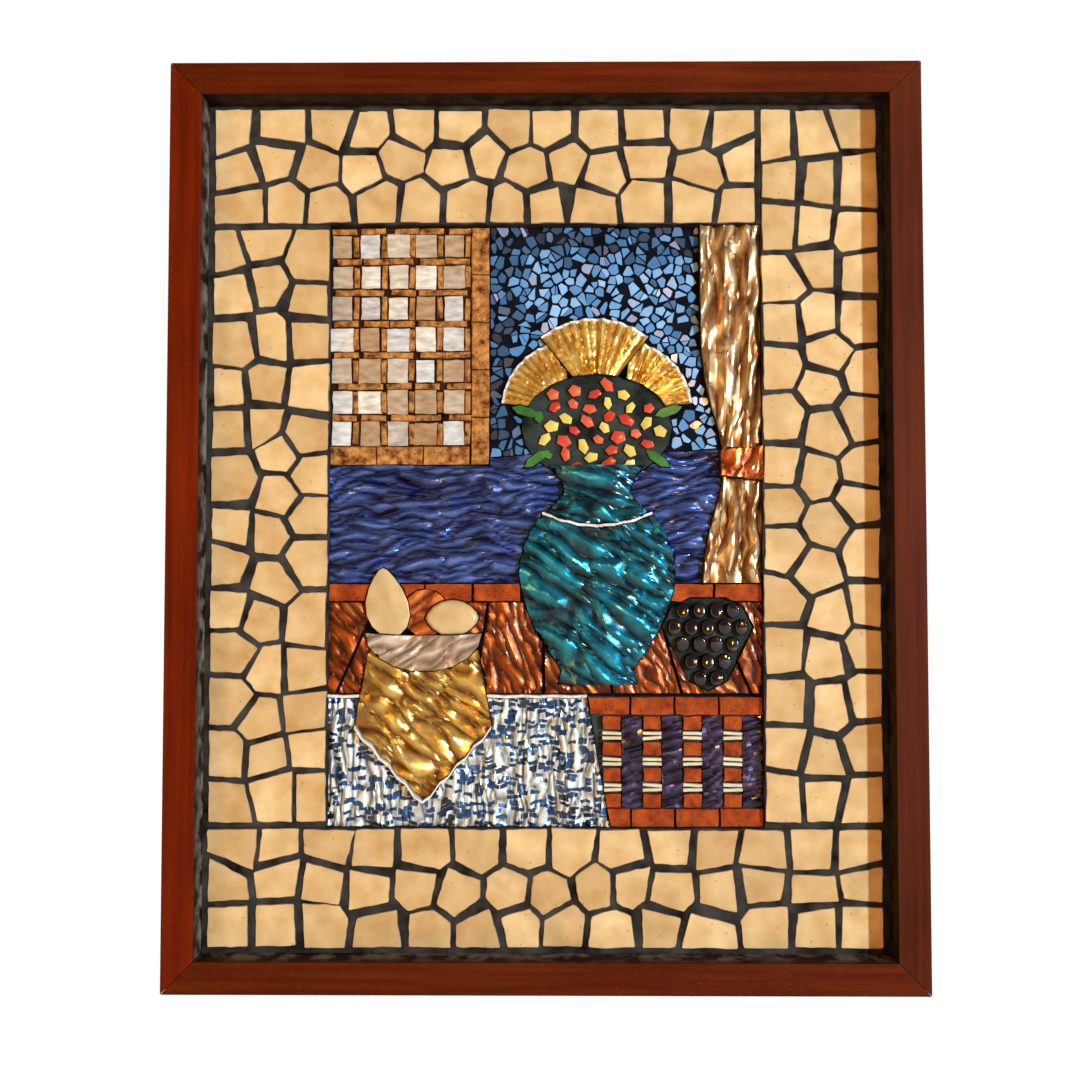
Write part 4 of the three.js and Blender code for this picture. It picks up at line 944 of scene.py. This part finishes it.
def make_bricks():
    """Brick bars of the sill, and the wall below with its cream slivers and dark foil strips."""
    rng = random.Random(SEEDS["bricks"])
    sill = sorted(n for n in NODES if n.startswith("sill_brick"))
    bm = front_outlines([*sill, "lower_wall"], BRICK_FRONTS)
    columns = {}
    for face in bm.faces:
        x0, z0, x1, z1 = face_box(face)
        if x1 - x0 < WIDEST_SQUARE and z1 < PICTURE_LOW.z + WALL_HEIGHT:
            columns.setdefault(round(x1, 3), []).append((x0, z0, x1, z1))
    for face in bm.faces:
        resized(bm, face, 0.97, 0.95)
    broken(bm, 0.9 * MM, 3, 2)
    tilted(bm, rng, math.radians(1.5))
    toned(bm, rng)
    thickened(bm, 5 * MM, BRICK_ARRIS, 2)
    finished(bm, "brick_bars", [*sill, "lower_wall"], [BRICK])
    slivers = bmesh.new()
    for boxes in columns.values():
        boxes.sort(key=lambda b: b[1])
        for lower, upper in zip(boxes, boxes[1:]):
            gap = upper[1] - lower[3]
            for share in SLIVER_PLACES:
                middle = lower[3] + gap * share
                turn = rng.uniform(-0.09, 0.09)
                box_face(slivers, lower[0] - 0.5 * MM, middle - SLIVER_WIDTH / 2, lower[2] + 0.5 * MM,
                         middle + SLIVER_WIDTH / 2, 7 * MM, turn)
    broken(slivers, 0.4 * MM, 2, 9)
    thickened(slivers, 3.5 * MM, 0.4 * MM)
    finished(slivers, "cream_slivers", ["lower_wall"], [SLIVER])
    strips = front_outlines(["lower_wall"], STRIP_FRONTS)
    gridded(strips, list(strips.faces), 0.25, 4 * MM, 1.8 * MM)
    tone = strips.verts.layers.float_color.new("tone")
    for vert in strips.verts:
        height = crumple(vert.co.x, vert.co.z, 0.25, 7 * MM, 3)
        vert.co.y -= 2.6 * MM * (height - 0.3)
        # The height kept here gives the strips' painted shade in the creases and painted highlights on the
        # crests.
        vert[tone] = (height, height, height, 1)
    made = bmesh.ops.extrude_edge_only(strips, edges=[e for e in strips.edges if e.is_boundary])
    skirt = [g for g in made["geom"] if isinstance(g, bmesh.types.BMVert)]
    for vert in skirt:
        vert.co.y = -BOARD_FACE - BED_TOP
    bmesh.ops.recalc_face_normals(strips, faces=strips.faces)
    finished(strips, "dark_strips", ["lower_wall"], [STRIP_FOIL])
    bedding("wall_grout", "lower_wall", 1 * MM, GREEN_GROUT)


def make_bouquet():
    """Petals stretched each its own way, leaves, and the grout that they lie in."""
    rng = random.Random(SEEDS["bouquet"])
    bm = front_outlines(["bouquet"], PETAL_FRONTS)
    leaves = bm.copy()
    keep_faces(leaves, lambda face: face.calc_area() > LARGEST_PETAL)
    keep_faces(bm, lambda face: face.calc_area() <= LARGEST_PETAL)
    for face in bm.faces:
        resized(bm, face, 1.4, 1.1, rng.uniform(0, math.pi))
    bevelled(bm, bm.verts, 1.4 * MM, 2, "VERTICES")
    toned(bm, rng)
    tilted(bm, rng, math.radians(6))
    thickened(bm, 3 * MM, 0.9 * MM, 2)
    finished(bm, "petals", ["bouquet"], [PETAL_GLASS], True)
    tilted(leaves, rng, math.radians(5))
    thickened(leaves, 4 * MM, 0.6 * MM)
    finished(leaves, "leaves", ["bouquet"], [LEAF_GLASS])
    bedding("bouquet_grout", "bouquet", 4 * MM, GREEN_GROUT)


def make_grapes():
    """Round black grapes in their grout."""
    rng = random.Random(SEEDS["grapes"])
    bm = front_outlines(["grape_bunch"], GRAPE_FRONTS)
    bevelled(bm, bm.verts, 2.6 * MM, 2, "VERTICES")
    tilted(bm, rng, math.radians(9))
    thickened(bm, 6 * MM, 2.2 * MM, 3)
    finished(bm, "grapes", ["grape_bunch"], [BLACK_GLASS], True)
    bedding("grape_grout", "grape_bunch", 1.8 * MM, GREEN_GROUT)


def make_fruit():
    """The two smooth ceramic fruits, well rounded off."""
    for name in ("pear", "lemon"):
        bm = front_outlines([name], FRUIT_FRONTS)
        thickened(bm, 8 * MM, 4.5 * MM, 4)
        finished(bm, f"{name}_tile", [name], [FRUIT_CERAMIC], True)


# Foil

def make_palms():
    """Fans of finely pleated gold foil with a white edge."""
    for name, (across, up, seed) in PALMS.items():
        corners = [v.co for v in NODES[name].data.vertices]
        foot = Vector((PANEL_MIDDLE.x + across, 0, PANEL_MIDDLE.z + up))
        radius = max(math.hypot(c.x - foot.x, c.z - foot.z) for c in corners)

        def pleats(x, z):
            out = math.hypot(x - foot.x, z - foot.z) / radius
            angle = math.atan2(z - foot.z, x - foot.x)
            return PLEAT_DEPTH * out * (zigzag(angle * PLEATS_PER_RADIAN) - 0.5)

        piece = foil(name + "_foil", "gold_foil", name, [GOLD_FOIL, PIPING], 0.4, 1.5 * MM, 1.5 * MM,
                     0.5 * MM, 9 * MM, seed, pleats)
        for polygon in piece.data.polygons:
            away = math.hypot(polygon.center.x - foot.x, polygon.center.z - foot.z)
            if away > radius - PALM_EDGE:
                polygon.material_index = 1


def make_foils():
    """All the other foils, the planks and the white piping."""
    down, up, upright, level = -0.62, 0.5, math.pi / 2 - 0.06, 0.08
    # Each piece's slot, node, material, angle of its ridges, cell along and across, depth and spacing.
    for name, slot, node_name, material, lean, along, across, depth, width in (
        ("vase_body_foil", "teal_foil", "vase_body", TEAL_FOIL, down, 3.6, 1.6, 6.8, 12.5),
        ("neck_foil", "teal_foil", "vase_neck", TEAL_FOIL, down + 0.3, 3.6, 1.6, 5.0, 11.0),
        ("napkin_foil", "gold_foil", "gold_napkin", GOLD_FOIL, down, 3.6, 1.8, 6.0, 12.0),
        ("bowl_foil", "cream_foil", "fruit_bowl", CREAM_FOIL, up, 3.0, 1.6, 3.5, 9.0),
        ("orange_skin", "orange_foil", "orange", ORANGE_FOIL, 0.9, 2.5, 1.6, 2.8, 9.0),
        ("tie_foil", "orange_foil", "curtain_tie", ORANGE_FOIL, 1.2, 3.0, 1.6, 4.0, 9.0),
        ("sea_foil_left", "blue_foil", "sea_left", BLUE_FOIL, level, 4.5, 1.3, 5.0, 8.0),
        ("sea_foil_right", "blue_foil", "sea_right", BLUE_FOIL, level, 4.5, 1.3, 5.0, 8.0),
        ("curtain_top_foil", "champagne_foil", "curtain_top", CHAMPAGNE_FOIL, upright, 4.5, 1.8, 5.0, 13.0),
        ("skirt_foil", "champagne_foil", "curtain_skirt", CHAMPAGNE_FOIL, upright, 4.5, 1.8, 5.0, 13.0),
        ("tablecloth_foil", "patterned_foil", "tablecloth", PATTERNED_FOIL, upright, 4.5, 1.4, 5.0, 7.0),
    ):
        sizes = [size * MM for size in (along, across, depth, width)]
        foil(name, slot, node_name, [material], lean, *sizes, len(name))
    for number, name in enumerate(sorted(n for n in NODES if n.startswith("table_plank"))):
        lean = -1.2 if number % 2 else -0.9
        sizes = [size * MM for size in (4, 1.6, 3, 8)]
        foil(name + "_foil", "plank_foil", name, [PLANK_FOIL], lean, *sizes, number)
    for name in ("napkin_piping", "vase_piping", "tablecloth_piping", "tablecloth_piping_2"):
        foil(name + "_cord", "piping", name, [PIPING], 0.0, 1.6 * MM, 0.8 * MM, 0.9 * MM, 2.4 * MM, 5)


# The studio

def make_camera():
    """Square to the panel but for a slight upward look from below its middle."""
    photo_side, focal_pixels = 1080, 1083
    pixels_up, pixels_left = 18, 5
    distance = 0.946
    look_up = math.radians(1.95)
    look_left = math.radians(0.4)
    camera = bpy.data.cameras.new("camera")
    camera.sensor_width = 36
    camera.lens = 36 * (focal_pixels / photo_side)
    seen = in_scene("camera", camera)
    drop = distance * math.tan(look_up + math.atan(pixels_up / focal_pixels))
    side = distance * math.tan(look_left - math.atan(pixels_left / focal_pixels))
    seen.location = (PANEL_MIDDLE.x + side, PANEL_LOW.y - distance, PANEL_MIDDLE.z - drop)
    seen.rotation_euler = (math.pi / 2 + look_up, 0, look_left)
    bpy.context.scene.camera = seen


def area_light(name, place, size, power, colour):
    """A rectangular lamp aimed at the panel's middle."""
    light = bpy.data.lights.new(name, "AREA")
    light.shape = "RECTANGLE"
    light.size, light.size_y = size
    light.energy = power
    light.color = colour
    lamp = in_scene(name, light)
    lamp.location = place
    aim = PANEL_MIDDLE - Vector(place)
    lamp.rotation_euler = aim.to_track_quat("-Z", "Y").to_euler()


def make_lights():
    """Two small lamps far off to the right throw the frame's two sharp shadows; the rest is soft."""
    area_light("daylight", (5.46, -5.85, 0.5), (0.3, 0.3), 870, (0.50, 0.74, 1))
    area_light("warm_lamp", (2.48, -7.6, 0.6), (0.3, 0.3), 150, (1, 0.36, 0.02))
    area_light("softbox", (-1.2, -2.0, 1.0), (1.0, 0.7), 2.4, (1, 0.70, 0.30))
    area_light("left_fill", (-1.7, -1.5, -0.4), (0.25, 1.2), 6.5, (1, 0.62, 0.22))


def make_floor():
    """A pale floor that fades into the white behind the panel."""
    bm = bmesh.new()
    place = Matrix.Translation((0, 0, PANEL_LOW.z - 0.3))
    bmesh.ops.create_grid(bm, x_segments=1, y_segments=1, size=8, matrix=place)
    material, tree, shader, spot = blank("pale_floor", roughness=0.9)
    fade = mapped(tree, depth_of(tree, spot), -0.1, 0.45, 0, 1)
    glow = mixed(tree, fade, (0, 0, 0), (1, 1, 1))
    body = mixed(tree, fade, (0.88, 0.76, 0.58), (0, 0, 0))
    linked(tree, [(glow, shader.inputs["Emission Color"]), (body, shader.inputs["Base Color"])])
    shader.inputs["Emission Strength"].default_value = 1
    floor = in_scene("floor", mesh_of(bm, "floor", [material]))


def make_studio():
    """A white backdrop, and a dim warm room in front of the panel that only the panel sees."""
    world = bpy.data.worlds.new("studio")
    bpy.context.scene.world = world
    world.use_nodes = True
    tree = world.node_tree
    background = tree.nodes["Background"]
    way = node(tree, "ShaderNodeTexCoord").outputs["Generated"]
    behind = mapped(tree, depth_of(tree, way), 0, 0.3, 0, 1)
    room = mixed(tree, behind, (0.14, 0.042, 0.006), (1, 1, 1))
    seen = node(tree, "ShaderNodeLightPath").outputs["Is Camera Ray"]
    tree.links.new(mixed(tree, seen, room, (1, 1, 1)), background.inputs["Color"])
    background.inputs["Strength"].default_value = 1
    make_floor()
    bpy.context.scene.view_settings.view_transform = "Standard"


make_camera()
make_rails()
for name, material in (("backing_board", BOARD_WOOD), ("picture_bed", BED_GROUT)):
    NODES[name].data.materials.clear()
    NODES[name].data.materials.append(material)
make_border()
make_shards()
make_shutter()
make_bricks()
make_bouquet()
make_grapes()
make_fruit()
make_palms()
make_foils()
make_lights()
make_studio()
